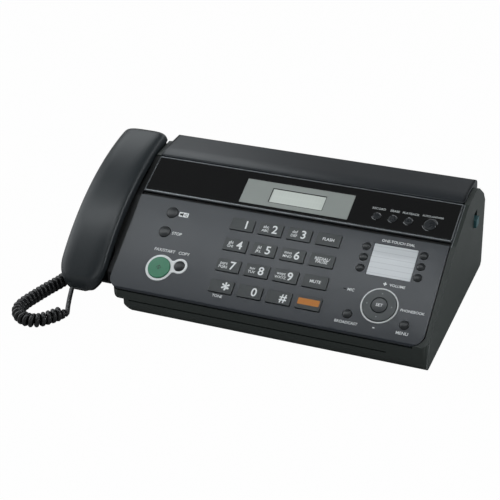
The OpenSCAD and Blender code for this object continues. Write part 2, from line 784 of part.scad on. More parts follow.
module panel_trims() placed() color("#c9ccce") {
    on_band() {
        translate([-panel_w, band_gap, -plate_t]) cube([panel_w, strip_w, plate_t + 0.3]);
        translate([-panel_w, band_len - top_w, -plate_t]) cube([panel_w, top_w, plate_t + 0.2]);
        for (x = [-panel_w, -edge_w])
            translate([x, band_gap + strip_w, -plate_t])
                cube([edge_w, band_len - band_gap - strip_w - top_w, plate_t + 0.2]);
    }
    on_panel()
        translate([0, 0, -plate_t])
            linear_extrude(plate_t + 0.4)
                difference() {
                    start_surround_shape(0);
                    translate(start_at) circle(r = start_r + button_gap);
                    translate(copy_at) circle(r = copy_r + button_gap);
                }
    on_panel()
        translate([nav_at[0], nav_at[1], -plate_t])
            difference() {
                cylinder(r = nav_r + button_gap + nav_ring_w, h = plate_t + 0.8);
                translate([0, 0, -1]) cylinder(r = nav_r + button_gap, h = plate_t + 4);
            }
}

module directory_card() placed() color("#d8dadb") {
    on_panel()
        translate([card_at[0] + fit_gap, card_at[1] + fit_gap, -plate_t])
            cube([card_size[0] - 2 * fit_gap, card_size[1] - 2 * fit_gap, plate_t - 0.3]);
}

band_board_at = [-94, 11];
band_post_x = [-92, -8];
band_board_size = [90, 27];

module key_board() placed() color("#2f6b45") {
    on_panel()
        translate([-panel_w + 8, 8, -board_depth - board_t])
            cube([panel_w - 12, panel_len - 14, board_t]);
    on_band()
        translate([band_board_at[0], band_board_at[1], -board_depth - board_t])
            cube([band_board_size[0], band_board_size[1], board_t]);
}

// Outline of the top cover, with a rolled rear edge.
cover_roll = 9;
cover_skirt = 13;
cover_front = 15;
cover_low = cover_top_z - cover_skirt;

function cover_outline(inset) = concat(
    [[cover_y0 + inset, cover_low - (inset > 0 ? 1 : 0)], [cover_y0 + inset, band_top[1] + 0.5 - inset],
        [cover_y0 + cover_front, cover_top_z - 0.5 - inset]],
    [for (a = [75 : -15 : 0])
        [cover_y1 - cover_roll + (cover_roll - inset) * cos(a),
            cover_top_z - 0.5 - cover_roll + (cover_roll - inset) * sin(a)]],
    [[cover_y1 - inset, cover_low - (inset > 0 ? 1 : 0)]]);

module top_cover() placed() color("#3b4045") {
    difference() {
        slab(-panel_w, 0, cover_outline(0));
        slab(-panel_w + wall, -wall, cover_outline(wall));
    }
}

module cover_lever() placed() color("#2c5a60") {
    block([right_in + 0.2, lever_y[0] - 5, lever_z[0] - 5],
        [right_in + 0.2 + lever_plate_t, lever_y[1] + 5, lever_z[1] + 4]);
    block([right_in + lever_plate_t, lever_y[0], lever_z[0]],
        [right_out + lever_out, lever_y[1], lever_z[1]]);
}

// ---------------------------------------------------------------- document guides

guide_half = 108;
guide_w = 12;
guide_t = 1.5;
guide_fin = [1.6, 4.5];
guide_along = [1.5, 10];

// The deck's frame: x, then y down its slope, then out of it.
module on_deck() {
    translate([0, deck_front[0], deck_front[1]])
        rotate([-deck_angle, 0, 0]) children();
}

module guide(side) {
    x = bay_mid + side * guide_half;
    on_deck() {
        block([min(x, x + side * guide_w), guide_along[0], fit_gap],
            [max(x, x + side * guide_w), guide_along[1], fit_gap + guide_t]);
        block([min(x, x + side * guide_fin[0]), guide_along[0], fit_gap],
            [max(x, x + side * guide_fin[0]), guide_along[1], fit_gap + guide_fin[1]]);
    }
}

module document_guide_left() placed() color("#3b4045") guide(-1);

module document_guide_right() placed() color("#3b4045") guide(1);

// ---------------------------------------------------------------- buttons

// Outline of the keypad's key i, counted along the rows from the top.
module key_outline(i, grow) {
    col = i % 4;
    row = 3 - floor(i / 4);
    translate([keypad[0] + col * key_pitch_x - grow, keypad[1] + row * key_pitch_y - grow])
        square([key_w + 2 * grow, key_d + 2 * grow]);
}

module cap(raise = button_up) {
    low = -plate_t - fit_gap - flange_t;
    translate([0, 0, low]) linear_extrude(raise - low) children(0);
    translate([0, 0, low]) linear_extrude(flange_t) children(1);
}

module key(i) placed() color("#4d5358") {
    on_panel() cap() {
        key_outline(i, 0);
        key_outline(i, flange);
    }
}

module round_key(at, r, raise = button_up) {
    cap(raise) {
        translate(at) circle(r = r);
        translate(at) circle(r = r + flange);
    }
}

module panel_button(at, r, tone = "#4d5358", raise = button_up) placed() color(tone)
    on_panel() round_key(at, r, raise);

module band_button(at, r) placed() color("#3a3d40")
    on_band() round_key(at, r, 0.9);

module touch_button(n) {
    panel_button([touch_x[floor((n - 1) / 3)], touch_s[(n - 1) % 3]], touch_r);
}

module navigator_disc() placed() color("#55595c")
    on_panel() {
        low = -plate_t - fit_gap - flange_t;
        translate([nav_at[0], nav_at[1], low])
            difference() {
                union() {
                    cylinder(r = nav_r, h = 1.6 - low);
                    cylinder(r = nav_r + nav_ring_w + flange, h = flange_t);
                }
                translate([0, 0, -1]) cylinder(r = set_r + button_gap, h = 20);
            }
    }

module set_button() placed() color("#6a6e70")
    on_panel()
        translate([nav_at[0], nav_at[1], -plate_t - fit_gap - flange_t - 0.6])
            cylinder(r = set_r, h = plate_t + fit_gap + flange_t + 2.4);

// ---------------------------------------------------------------- handset

// Height of the arched back at s, and of the inner side.
function arch(s) = handset_rise - handset_arch + sqrt(pow(handset_arch, 2) - pow(s - arch_s, 2));
ear_cup_t = -10;
function blend(x) = let (c = min(1, max(0, x))) c * c * (3 - 2 * c);
function inner(s) = let (e = handset_len)
    s < 42 ? -3 + 5 * blend((5 - s) / 5)
    : s < 52 ? -3 + 9 * blend((s - 42) / 10)
    : s < e - 50 ? 6 + 3 * sin(180 * (s - 52) / (e - 102))
    : s < e - 40 ? 6 + (ear_cup_t - 6) * blend((s - e + 50) / 10)
    : ear_cup_t + 8 * blend((s - e + 7) / 7);
split_depth = 11;
keel_inset = 2.5;
nose_r = 26;
tail_r = 11;
function half_width(s, w) = let (n = nose_r, e = handset_len - tail_r)
    s < n ? w * pow(1 - pow((n - s) / n, 2.4) * 0.86, 0.5)
    : s > e ? w * pow(1 - pow((s - e) / tail_r, 2.4) * 0.75, 0.5)
    : w;
function top_at(s) = arch(s) - (s < 9 ? 7 * pow((9 - s) / 9, 2) : 0)
    - (s > handset_len - 8 ? 7 * pow((s - handset_len + 8) / 8, 2) : 0);
function split_at(s) = min(arch(s) - split_depth, top_at(s) - 1);
stations = [0, 1.5, 4, 8, 14, 22, 32, 42, 47, 52, 64, 78, 92, 106, 120, handset_len - 50, handset_len - 45,
    handset_len - 40, handset_len - 28, handset_len - 17, handset_len - 9, handset_len - 4,
    handset_len - 1.5, handset_len];
section_n = 15;

// Cross-sections as [x, s, t] points. The crown arches over a flat split face,
// and the keel hangs below it.
function crown(s, w, low, high) = [for (k = [0 : section_n - 1])
    let (a = 180 * k / (section_n - 1), c = cos(a), d = max(0, sin(a)))
        [w * sign(c) * pow(abs(c), 0.5), s, low + (high - low) * pow(d, 0.62)]];
function keel(s, w, low, high) = [for (k = [0 : section_n - 1])
    let (a = 180 * k / (section_n - 1), c = -cos(a), d = max(0, sin(a)))
        [w * sign(c) * pow(abs(c), 0.4), s, high - (high - low) * pow(d, 0.4)]];

module loft(rings) {
    n = section_n;
    m = len(rings);
    polyhedron([for (r = rings) each r],
        concat([[for (k = [0 : n - 1]) k]],
            [for (i = [0 : m - 2]) for (k = [0 : n - 1])
                [i * n + k, (i + 1) * n + k, (i + 1) * n + (k + 1) % n, i * n + (k + 1) % n]],
            [[for (k = [n - 1 : -1 : 0]) (m - 1) * n + k]]));
}

module on_handset() {
    on_cradle() translate([0, hand_lead, 0]) children();
}

module handset_back() placed() color("#4d5358")
    on_handset()
        loft([for (s = stations) crown(s, half_width(s, handset_w / 2), split_at(s), top_at(s))]);

module handset_front() placed() color("#2b2e31")
    on_handset()
        loft([for (s = stations)
            let (low = min(inner(s), split_at(s) - 1))
                keel(s, half_width(s, handset_w / 2 - keel_inset), low, split_at(s))]);

// ---------------------------------------------------------------- cord

function unit(v) = v / norm(v);
// Frames along a route of [x, y, z] points: rings square to the path, kept upright.
function ring(points, i, r, n) = let (
    a = points[max(i - 1, 0)], b = points[min(i + 1, len(points) - 1)],
    d = unit(b - a), side = unit(cross(d, [0, 0, 1])), up = cross(side, d))
    [for (k = [0 : n - 1]) points[i] + r * (cos(360 * k / n) * side + sin(360 * k / n) * up)];

module tube(points, r, n) {
    m = len(points);
    polyhedron([for (i = [0 : m - 1]) each ring(points, i, r, n)],
        concat([[for (k = [n - 1 : -1 : 0]) k]],
            [for (i = [0 : m - 2]) for (k = [0 : n - 1])
                [i * n + k, i * n + (k + 1) % n, (i + 1) * n + (k + 1) % n, (i + 1) * n + k]],
            [[for (k = [0 : n - 1]) (m - 1) * n + k]]));
}

module handset_cord_coil() placed() color("#17181a") translate([-panel_w, 0, 0])
    tube([for (p = coil_route) [p[0], p[1], coil_z]], curl_od / 2 - 0.02, 12);

module handset_cord_tails() placed() color("#17181a") translate([-panel_w, 0, 0]) {
    tube(tail_in, cord_od / 2, 8);
    tube(tail_out, cord_od / 2, 8);
}

// ---------------------------------------------------------------- parts

lower_case();
rubber_feet();
handset_cradle();
thermal_head();
image_sensor();
circuit_boards();
drive_motor();
case_screws();
control_panel();
display_band();
lcd_module();
top_cover();
directory_card();
panel_trims();
key_board();
paper_roll();
platen_roller();
feed_roller();
cover_lever();
document_guide_left();
document_guide_right();
hook_switch();
handset_back();
handset_front();
handset_cord_coil();
handset_cord_tails();
key(0);  // key_1
key(1);  // key_2
key(2);  // key_3
key(3);  // key_flash
key(4);  // key_4
key(5);  // key_5
key(6);  // key_6
key(7);  // key_redial
key(8);  // key_7
key(9);  // key_8
key(10);  // key_9
key(11);  // key_mute
key(12);  // key_star
key(13);  // key_0
key(14);  // key_hash
key(15);  // key_dial_mode
panel_button(spk_at, round_r);  // speakerphone_button
panel_button(stop_at, round_r);  // stop_button
panel_button(start_at, start_r, "#3a8a66", 1.6);  // start_button
panel_button(copy_at, copy_r);  // copy_button
touch_button(1);  // one_touch_button_1
touch_button(2);  // one_touch_button_2
touch_button(3);  // one_touch_button_3
touch_button(4);  // one_touch_button_4
touch_button(5);  // one_touch_button_5
touch_button(6);  // one_touch_button_6
navigator_disc();
set_button();
panel_button(broadcast_at, small_r);  // broadcast_button
panel_button(menu_at, small_r);  // menu_button
band_button([answer_x[0], answer_s], answer_r);  // record_button
band_button([answer_x[1], answer_s], answer_r);  // erase_button
band_button([answer_x[2], answer_s], answer_r);  // playback_button
band_button(auto_at, auto_r);  // auto_answer_button
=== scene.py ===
"""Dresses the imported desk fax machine: shells, keys, lettering, handset, cord and studio."""

import json
import logging
import math
from contextlib import contextmanager
from dataclasses import dataclass
from enum import Enum
from typing import Callable, Iterator, Sequence

import bmesh
import bpy
from mathutils import Matrix, Vector

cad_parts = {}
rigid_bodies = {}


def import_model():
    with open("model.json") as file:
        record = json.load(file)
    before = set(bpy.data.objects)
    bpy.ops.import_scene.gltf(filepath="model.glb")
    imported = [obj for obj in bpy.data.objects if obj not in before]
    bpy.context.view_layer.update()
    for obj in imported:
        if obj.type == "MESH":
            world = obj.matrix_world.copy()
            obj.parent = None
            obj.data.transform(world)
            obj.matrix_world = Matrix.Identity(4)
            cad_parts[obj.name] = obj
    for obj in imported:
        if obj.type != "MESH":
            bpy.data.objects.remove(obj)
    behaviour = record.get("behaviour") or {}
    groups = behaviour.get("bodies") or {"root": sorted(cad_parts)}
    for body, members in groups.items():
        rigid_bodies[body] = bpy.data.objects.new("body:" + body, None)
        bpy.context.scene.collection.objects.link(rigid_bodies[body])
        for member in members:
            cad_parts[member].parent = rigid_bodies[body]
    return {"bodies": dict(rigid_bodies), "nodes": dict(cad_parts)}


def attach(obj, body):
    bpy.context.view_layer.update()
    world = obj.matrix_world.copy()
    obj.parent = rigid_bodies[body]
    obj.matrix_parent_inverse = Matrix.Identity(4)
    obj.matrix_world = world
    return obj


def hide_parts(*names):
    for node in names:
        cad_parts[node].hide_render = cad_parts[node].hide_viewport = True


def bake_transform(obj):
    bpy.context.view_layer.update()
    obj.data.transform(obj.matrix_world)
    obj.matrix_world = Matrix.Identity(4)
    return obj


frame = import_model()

LOG = logging.getLogger("fax")
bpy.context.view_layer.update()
MM = 0.001

Point2 = tuple[float, float]
Point3 = tuple[float, float, float]
Outline = list[Point2]


# ------------------------------------------------------------------ frames


@dataclass(frozen=True)
class Slope:
    """A tilted working frame in millimetres: x across, s up its slope, n out of it."""

    x: float
    y: float
    z: float
    tilt: float

    def matrix(self) -> Matrix:
        """Returns the matrix from this frame's millimetres to the row frame's metres."""
        place = Matrix.Translation(Vector((self.x + CORNER[0], self.y + CORNER[1], self.z)) * MM)
        return place @ Matrix.Rotation(math.radians(self.tilt), 4, "X") @ Matrix.Scale(MM, 4)

    def point(self, x: float, s: float, n: float) -> Vector:
        """Returns the place in metres of a point of this frame."""
        return self.matrix() @ Vector((x, s, n))


# The panel's right front corner on the desk, in the row frame.
CORNER: Point2 = (172.3, -92.5615)

LEVEL = Slope(0.0, 0.0, 0.0, 0.0)
PANEL = Slope(0.0, 0.0, 26.4, 33.4)
BAND = Slope(0.0, 81.481, 80.127, 23.3)
CRADLE = Slope(-329.0, -1.62690, 14.42405, 29.0)

PANEL_W = 300.0
PANEL_LEN = 97.6
BAND_LEN = 48.0
PLATE_T = 2.5
# How far the keys and buttons reach below the plate they stand in, and their clearance in it.
SKIRT = 1.5
GAP = 0.3

# Places and sizes that several sub-assemblies share, in the panel's millimetres.
START_AT: Point2 = (-256.1, 26.3)
START_R = 10.6
COPY_AT: Point2 = (-237.4, 31.3)
COPY_R = 5.0
NAV_AT: Point2 = (-46.1, 29.8)
NAV_R = 15.2
SET_R = 7.0
CARD_AT: Point2 = (-66.5, 57.2)
CARD_SIZE: Point2 = (40.7, 31.6)
# The display's window, in the band's millimetres.
WINDOW_AT: Point2 = (-177.0, 14.9)
WINDOW_SIZE: Point2 = (53.0, 17.1)

ONE_TOUCH_X = (-72.8, -20.3)
ONE_TOUCH_S = (84.1, 73.1, 62.3)
# The panel's plain round buttons: node, middle and radius.
ROUNDS: tuple[tuple[str, Point2, float], ...] = (
    ("speakerphone_button", (-262.9, 83.6), 5.6), ("stop_button", (-263.5, 63.0), 5.6),
    ("broadcast_button", (-71.7, 16.8), 4.1), ("menu_button", (-20.3, 16.4), 4.1),
    *((f"one_touch_button_{i + 1}", (ONE_TOUCH_X[i // 3], ONE_TOUCH_S[i % 3]), 3.7)
      for i in range(6)))

# Modelling tolerances: two in degrees, one in millimetres.
SMOOTH_ANGLE = 40.0
FLAT_ANGLE = 1.0
MERGE = 0.002
# The height of a capital letter as a share of the typeface's size.
CAPITAL = 0.72


# ------------------------------------------------------------------ shader trees


class Value:
    """A socket of a shader tree that takes part in Python expressions."""

    def __init__(self, tree: "Nodes", socket: bpy.types.NodeSocket) -> None:
        """Wraps one output socket of the tree."""
        self.tree = tree
        self.socket = socket

    def out(self, name: str) -> "Value":
        """Returns another output of the same node."""
        return Value(self.tree, self.socket.node.outputs[name])

    def math(self, operation: str, *others: "Value | float") -> "Value":
        """Returns the result of one Math node on this value and the others."""
        inputs = {i + 1: other for i, other in enumerate(others)}
        return self.tree.add("ShaderNodeMath", {"operation": operation}, {0: self, **inputs})

    def __add__(self, other: "Value | float") -> "Value":
        """Returns self + other."""
        return self.math("ADD", other)

    __radd__ = __add__

    def __mul__(self, other: "Value | float") -> "Value":
        """Returns self * other."""
        return self.math("MULTIPLY", other)

    __rmul__ = __mul__

    def __sub__(self, other: "Value | float") -> "Value":
        """Returns self - other."""
        return self.math("SUBTRACT", other)

    def __rsub__(self, other: float) -> "Value":
        """Returns other - self."""
        return self.tree.add("ShaderNodeMath", {"operation": "SUBTRACT"}, {0: other, 1: self})

    def __gt__(self, other: "Value | float") -> "Value":
        """Returns 1 where self is above other, and 0 elsewhere."""
        return self.math("GREATER_THAN", other)

    def __lt__(self, other: "Value | float") -> "Value":
        """Returns 1 where self is below other, and 0 elsewhere."""
        return self.math("LESS_THAN", other)

    def between(self, low: float, high: float) -> "Value":
        """Returns 1 where self lies between low and high."""
        return (self > low) * (self < high)

    def wrap(self, period: float) -> "Value":
        """Returns self folded into 0..period."""
        return self.math("WRAP", period, 0.0)


class Nodes:
    """A node tree, built by one method for every kind of node."""

    def __init__(self, owner: "bpy.types.Material | bpy.types.World", output: str) -> None:
        """Empties the owner's tree and gives it its output node."""
        owner.use_nodes = True
        self.nodes, self.links = owner.node_tree.nodes, owner.node_tree.links
        self.nodes.clear()
        self.output = self.nodes.new(output)

    def add(self, kind: str, settings: dict, inputs: dict) -> Value:
        """Adds a node.

        Args:
            kind: the node's type.
            settings: its properties.
            inputs: values or links by the socket's name or number.

        Returns:
            The node's first enabled output.
        """
        node = self.nodes.new(kind)
        for key, value in settings.items():
            setattr(node, key, value)
        for key, value in inputs.items():
            self.feed(node.inputs[key], value)
        return Value(self, next(o for o in node.outputs if o.enabled))

    def feed(self, socket: bpy.types.NodeSocket, value: "Value | float | Sequence[float]") -> None:
        """Links a value to a socket, or sets the socket's own number."""
        if isinstance(value, Value):
            self.links.new(value.socket, socket)
        elif socket.type == "RGBA" and len(value) == 3:
            socket.default_value = (*value, 1.0)
        else:
            socket.default_value = value

    def axes(self, vector: Value) -> tuple[Value, Value, Value]:
        """Returns the three parts of a vector."""
        parts = self.add("ShaderNodeSeparateXYZ", {}, {0: vector})
        return parts.out("X"), parts.out("Y"), parts.out("Z")

    def seen(self) -> Value:
        """Returns 1 for rays straight from the eye."""
        return self.add("ShaderNodeLightPath", {}, {}).out("Is Camera Ray")

    def choose(self, factor: Value, first: Value, second: Value) -> None:
        """Sends a mix of two shaders to the output, the first where the factor is 0."""
        mixed = self.add("ShaderNodeMixShader", {}, {"Fac": factor, 1: first, 2: second})
        self.feed(self.output.inputs[0], mixed)


class Tree(Nodes):
    """A material's node tree, round one Principled shader."""

    def __init__(self, name: str) -> None:
        """Starts a new material whose tree has the shader and the output."""
        self.material = bpy.data.materials.new(name)
        super().__init__(self.material, "ShaderNodeOutputMaterial")
        self.shader = self.nodes.new("ShaderNodeBsdfPrincipled")
        self.links.new(self.shader.outputs[0], self.output.inputs[0])

    def set(self, **inputs: "Value | float | Sequence[float]") -> None:
        """Sets sockets of the Principled shader, with _ for a blank in their names."""
        for key, value in inputs.items():
            self.feed(self.shader.inputs[key.replace("_", " ")], value)

    def place(self, slope: "Slope | None" = None) -> Value:
        """Returns Object coordinates, in metres, or in a slope's millimetres."""
        coords = self.add("ShaderNodeTexCoord", {}, {}).out("Object")
        if slope is None:
            return coords
        turn = math.radians(-slope.tilt)
        moved = self.add("ShaderNodeVectorMath", {"operation": "SUBTRACT"},
                         {0: coords, 1: tuple(slope.point(0, 0, 0))})
        return self.add("ShaderNodeMapping", {}, {"Vector": moved, "Rotation": (turn, 0, 0),
                                                  "Scale": (1 / MM, 1 / MM, 1 / MM)})

    def stretch(self, place: Value, share: float) -> Value:
        """Returns coordinates whose X is only that share of itself, for marks drawn along X."""
        return self.add("ShaderNodeMapping", {}, {"Vector": place, "Scale": (share, 1, 1)})

    def noise(self, vector: Value, size: float, detail: float = 2.0) -> Value:
        """Returns noise from 0 to 1 whose grains have that size in the vector's unit."""
        return self.add("ShaderNodeTexNoise", {}, {"Vector": vector, "Scale": 1 / size,
                                                   "Detail": detail}).out("Fac")

    def mix(self, factor: "Value | float", a: "Value | Sequence[float]",
            b: "Value | Sequence[float]") -> Value:
        """Returns colour a changed to b by the factor."""
        node = self.nodes.new("ShaderNodeMix")
        node.data_type = "RGBA"
        for index, value in ((0, factor), (6, a), (7, b)):
            self.feed(node.inputs[index], value)
        return Value(self, node.outputs[2])

    def bump(self, height: Value, depth: float, strength: float = 0.6) -> None:
        """Gives the shader a bump of that depth in millimetres."""
        self.set(Normal=self.add("ShaderNodeBump", {}, {"Height": height, "Strength": strength,
                                                        "Distance": depth * MM}).out("Normal"))


def rgb(code: str) -> Vector:
    """Returns the linear colour of a six-digit sRGB code."""
    parts = [int(code[i:i + 2], 16) / 255 for i in (0, 2, 4)]
    return Vector([c / 12.92 if c <= 0.04045 else ((c + 0.055) / 1.055) ** 2.4 for c in parts])


def lighter(colour: Vector, factor: float) -> Vector:
    """Returns a colour made lighter, up to white."""
    return Vector([min(1.0, part * factor) for part in colour])


# ------------------------------------------------------------------ finishes

MADE: dict[str, bpy.types.Material] = {}


@dataclass(frozen=True)
class Finish:
    """A surface finish: its name, the record's slot it belongs to, which is not used, and its base
    colour.
    """

    name: str
    slot: str
    colour: str

    def paint(self, tree: Tree, place: Value, base: Vector) -> None:
        """Fills the tree with this finish.

        Args:
            tree: the material's tree.
            place: Object coordinates in metres.
            base: the base colour, linear.
        """
        raise NotImplementedError

    def material(self) -> bpy.types.Material:
        """Returns the finish's material, which is made once."""
        if self.name not in MADE:
            tree = Tree(self.name)
            self.paint(tree, tree.place(), rgb(self.colour))
            tree.material.diffuse_color = (*rgb(self.colour), 1.0)
            MADE[self.name] = tree.material
        return MADE[self.name]


@dataclass(frozen=True)
class Moulded(Finish):
    """Moulded plastic with a fine spark-eroded grain and faint uneven tone."""

    roughness: float = 0.5
    grain: float = 0.45
    depth: float = 0.03
    mottle: float = 0.05
    coat: float = 0.0
    gloss: float = 0.5

    def paint(self, tree: Tree, place: Value, base: Vector) -> None:
        """Fills the tree with the grain, the tone and the worn sheen."""
        cloud = tree.noise(place, 38 * MM, 3.0)
        speck = tree.noise(place, 0.9 * MM, 2.0)
        tone = tree.mix(cloud, base * (1 - self.mottle), base * (1 + self.mottle))
        tone = tree.mix(speck * 0.12, tone, base * 1.25)
        grain = tree.noise(place, self.grain * MM, 3.0)
        tree.set(Base_Color=tone, Coat_Weight=self.coat, Specular_IOR_Level=self.gloss,
                 Roughness=cloud * 0.08 + speck * 0.06 + (self.roughness - 0.07))
        tree.bump(grain, self.depth)


@dataclass(frozen=True)
class Gloss(Finish):
    """Polished plastic with a lacquered top and a trace of handling."""

    roughness: float = 0.12
    coat: float = 0.6

    def paint(self, tree: Tree, place: Value, base: Vector) -> None:
        """Fills the tree with a slightly wavy polish and light smears."""
        smear = tree.noise(place, 21 * MM, 4.0)
        fine = tree.noise(place, 1.6 * MM, 2.0)
        tree.set(Base_Color=tree.mix(smear, base * 0.94, base * 1.1),
                 Roughness=smear * 0.09 + fine * 0.03 + (self.roughness - 0.06),
                 Coat_Weight=self.coat, Coat_Roughness=0.06)
        tree.bump(tree.noise(place, 7 * MM, 1.0), 0.012, 0.35)


@dataclass(frozen=True)
class Metal(Finish):
    """Plated or brushed metal with fine lines along X."""

    roughness: float = 0.32
    metallic: float = 1.0

    def paint(self, tree: Tree, place: Value, base: Vector) -> None:
        """Fills the tree with drawn lines and dull patches."""
        lines = tree.noise(tree.stretch(place, 0.04), 0.35 * MM, 3.0)
        patch = tree.noise(place, 9 * MM, 3.0)
        tree.set(Base_Color=tree.mix(patch, base * 0.86, base * 1.06),
                 Metallic=self.metallic,
                 Roughness=lines * 0.16 + patch * 0.1 + (self.roughness - 0.12))
        tree.bump(lines, 0.01, 0.5)


@dataclass(frozen=True)
class Rubber(Finish):
    """Dull rubber, ground or moulded."""

    roughness: float = 0.78
    grain: float = 0.7

    def paint(self, tree: Tree, place: Value, base: Vector) -> None:
        """Fills the tree with a soft dusty tone and a ground grain."""
        dust = tree.noise(place, 11 * MM, 4.0)
        grain = tree.noise(place, self.grain * MM, 3.0)
        tree.set(Base_Color=tree.mix(dust, base * 0.85, base * 1.5),
                 Roughness=dust * 0.14 + (self.roughness - 0.07))
        tree.bump(grain, 0.05, 0.5)


@dataclass(frozen=True)
class Sheet(Finish):
    """Paper or card with its fibres."""

    roughness: float = 0.82

    def paint(self, tree: Tree, place: Value, base: Vector) -> None:
        """Fills the tree with fibres and a faint tone."""
        fibre = tree.noise(tree.stretch(place, 0.3), 0.5 * MM, 4.0)
        cloud = tree.noise(place, 24 * MM, 2.0)
        tone = tree.mix(fibre * 0.5 + cloud * 0.5, base * 0.94, lighter(base, 1.04))
        tree.set(Base_Color=tone, Roughness=fibre * 0.1 + (self.roughness - 0.05))
        tree.bump(fibre, 0.02, 0.4)


@dataclass(frozen=True)
class Ink(Finish):
    """Screen-printed ink, a little uneven in cover."""

    roughness: float = 0.5

    def paint(self, tree: Tree, place: Value, base: Vector) -> None:
        """Fills the tree with the ink's cover and its slight texture."""
        cover = tree.noise(place, 0.6 * MM, 3.0)
        tree.set(Base_Color=tree.mix(cover, base * 0.9, lighter(base, 1.05)),
                 Roughness=cover * 0.12 + (self.roughness - 0.06))
        tree.bump(cover, 0.006, 0.4)


@dataclass(frozen=True)
class RuledCard(Finish):
    """A name card with ruled lines, read in the panel's own millimetres."""

    rows: int = 6
    rule: float = 0.3

    def paint(self, tree: Tree, place: Value, base: Vector) -> None:
        """Fills the tree with the card's stock and its rules."""
        _, s, _ = tree.axes(tree.place(PANEL))
        pitch = CARD_SIZE[1] / self.rows
        line = (s - CARD_AT[1]).math("PINGPONG", pitch / 2).between(pitch / 2 - self.rule, pitch)
        fibre = tree.noise(place, 0.6 * MM, 3.0)
        stock = tree.mix(fibre, base * 0.93, lighter(base, 1.03))
        tree.set(Base_Color=tree.mix(line * 0.3, stock, rgb("8b8f93")),
                 Roughness=fibre * 0.1 + 0.42, Coat_Weight=0.25)
        tree.bump(fibre, 0.01, 0.3)


@dataclass(frozen=True)
class Board(Finish):
    """A printed circuit board with traces and soldered pads."""

    def paint(self, tree: Tree, place: Value, base: Vector) -> None:
        """Fills the tree with solder mask, traces and pads."""
        cells = tree.add("ShaderNodeTexVoronoi", {"distance": "CHEBYCHEV", "feature": "F1"},
                         {"Vector": place, "Scale": 1 / (5.5 * MM), "Randomness": 0.35})
        trace = cells.out("Distance").between(0.40, 0.47)
        pad = cells.out("Distance") < 0.09
        tone = tree.mix(trace * 0.55, base, base * 1.9)
        tree.set(Base_Color=tree.mix(pad, tone, rgb("b9bab2")), Metallic=pad * 0.8,
                 Roughness=0.42 - trace * 0.06 - pad * 0.12)
        tree.bump(trace + pad, 0.05, 0.5)


@dataclass(frozen=True)
class Display(Finish):
    """The liquid crystal window: a grey cell with a faint raster of unlit characters."""

    margin: Point2 = (3.0, 2.2)
    cell: Point2 = (3.0, 5.6)
    line_gap: float = 1.2

    def paint(self, tree: Tree, place: Value, base: Vector) -> None:
        """Fills the tree with the cell's tone, its characters' raster and its gloss."""
        x, s, _ = tree.axes(tree.place(BAND))
        col = (x - (WINDOW_AT[0] + self.margin[0])).wrap(self.cell[0])
        row = (s - (WINDOW_AT[1] + self.margin[1])).wrap(self.cell[1] + self.line_gap)
        lit = col.between(0.3, self.cell[0] - 0.3) * row.between(0.4, self.cell[1])
        cloud = tree.noise(place, 30 * MM, 2.0)
        tone = tree.mix(cloud, base * 0.95, base * 1.05)
        tree.set(Base_Color=tree.mix(lit * 0.07, tone, base * 0.62), Roughness=0.14 + cloud * 0.05,
                 Coat_Weight=0.5)


@dataclass(frozen=True)
class CordSkin(Finish):
    """The flexible skin of a curly cord."""

    def paint(self, tree: Tree, place: Value, base: Vector) -> None:
        """Fills the tree with a soft satin black."""
        cloud = tree.noise(place, 6 * MM, 3.0)
        tree.set(Base_Color=tree.mix(cloud, base * 0.8, base * 1.35),
                 Roughness=cloud * 0.12 + 0.24)
        tree.bump(tree.noise(place, 0.5 * MM, 2.0), 0.01, 0.4)


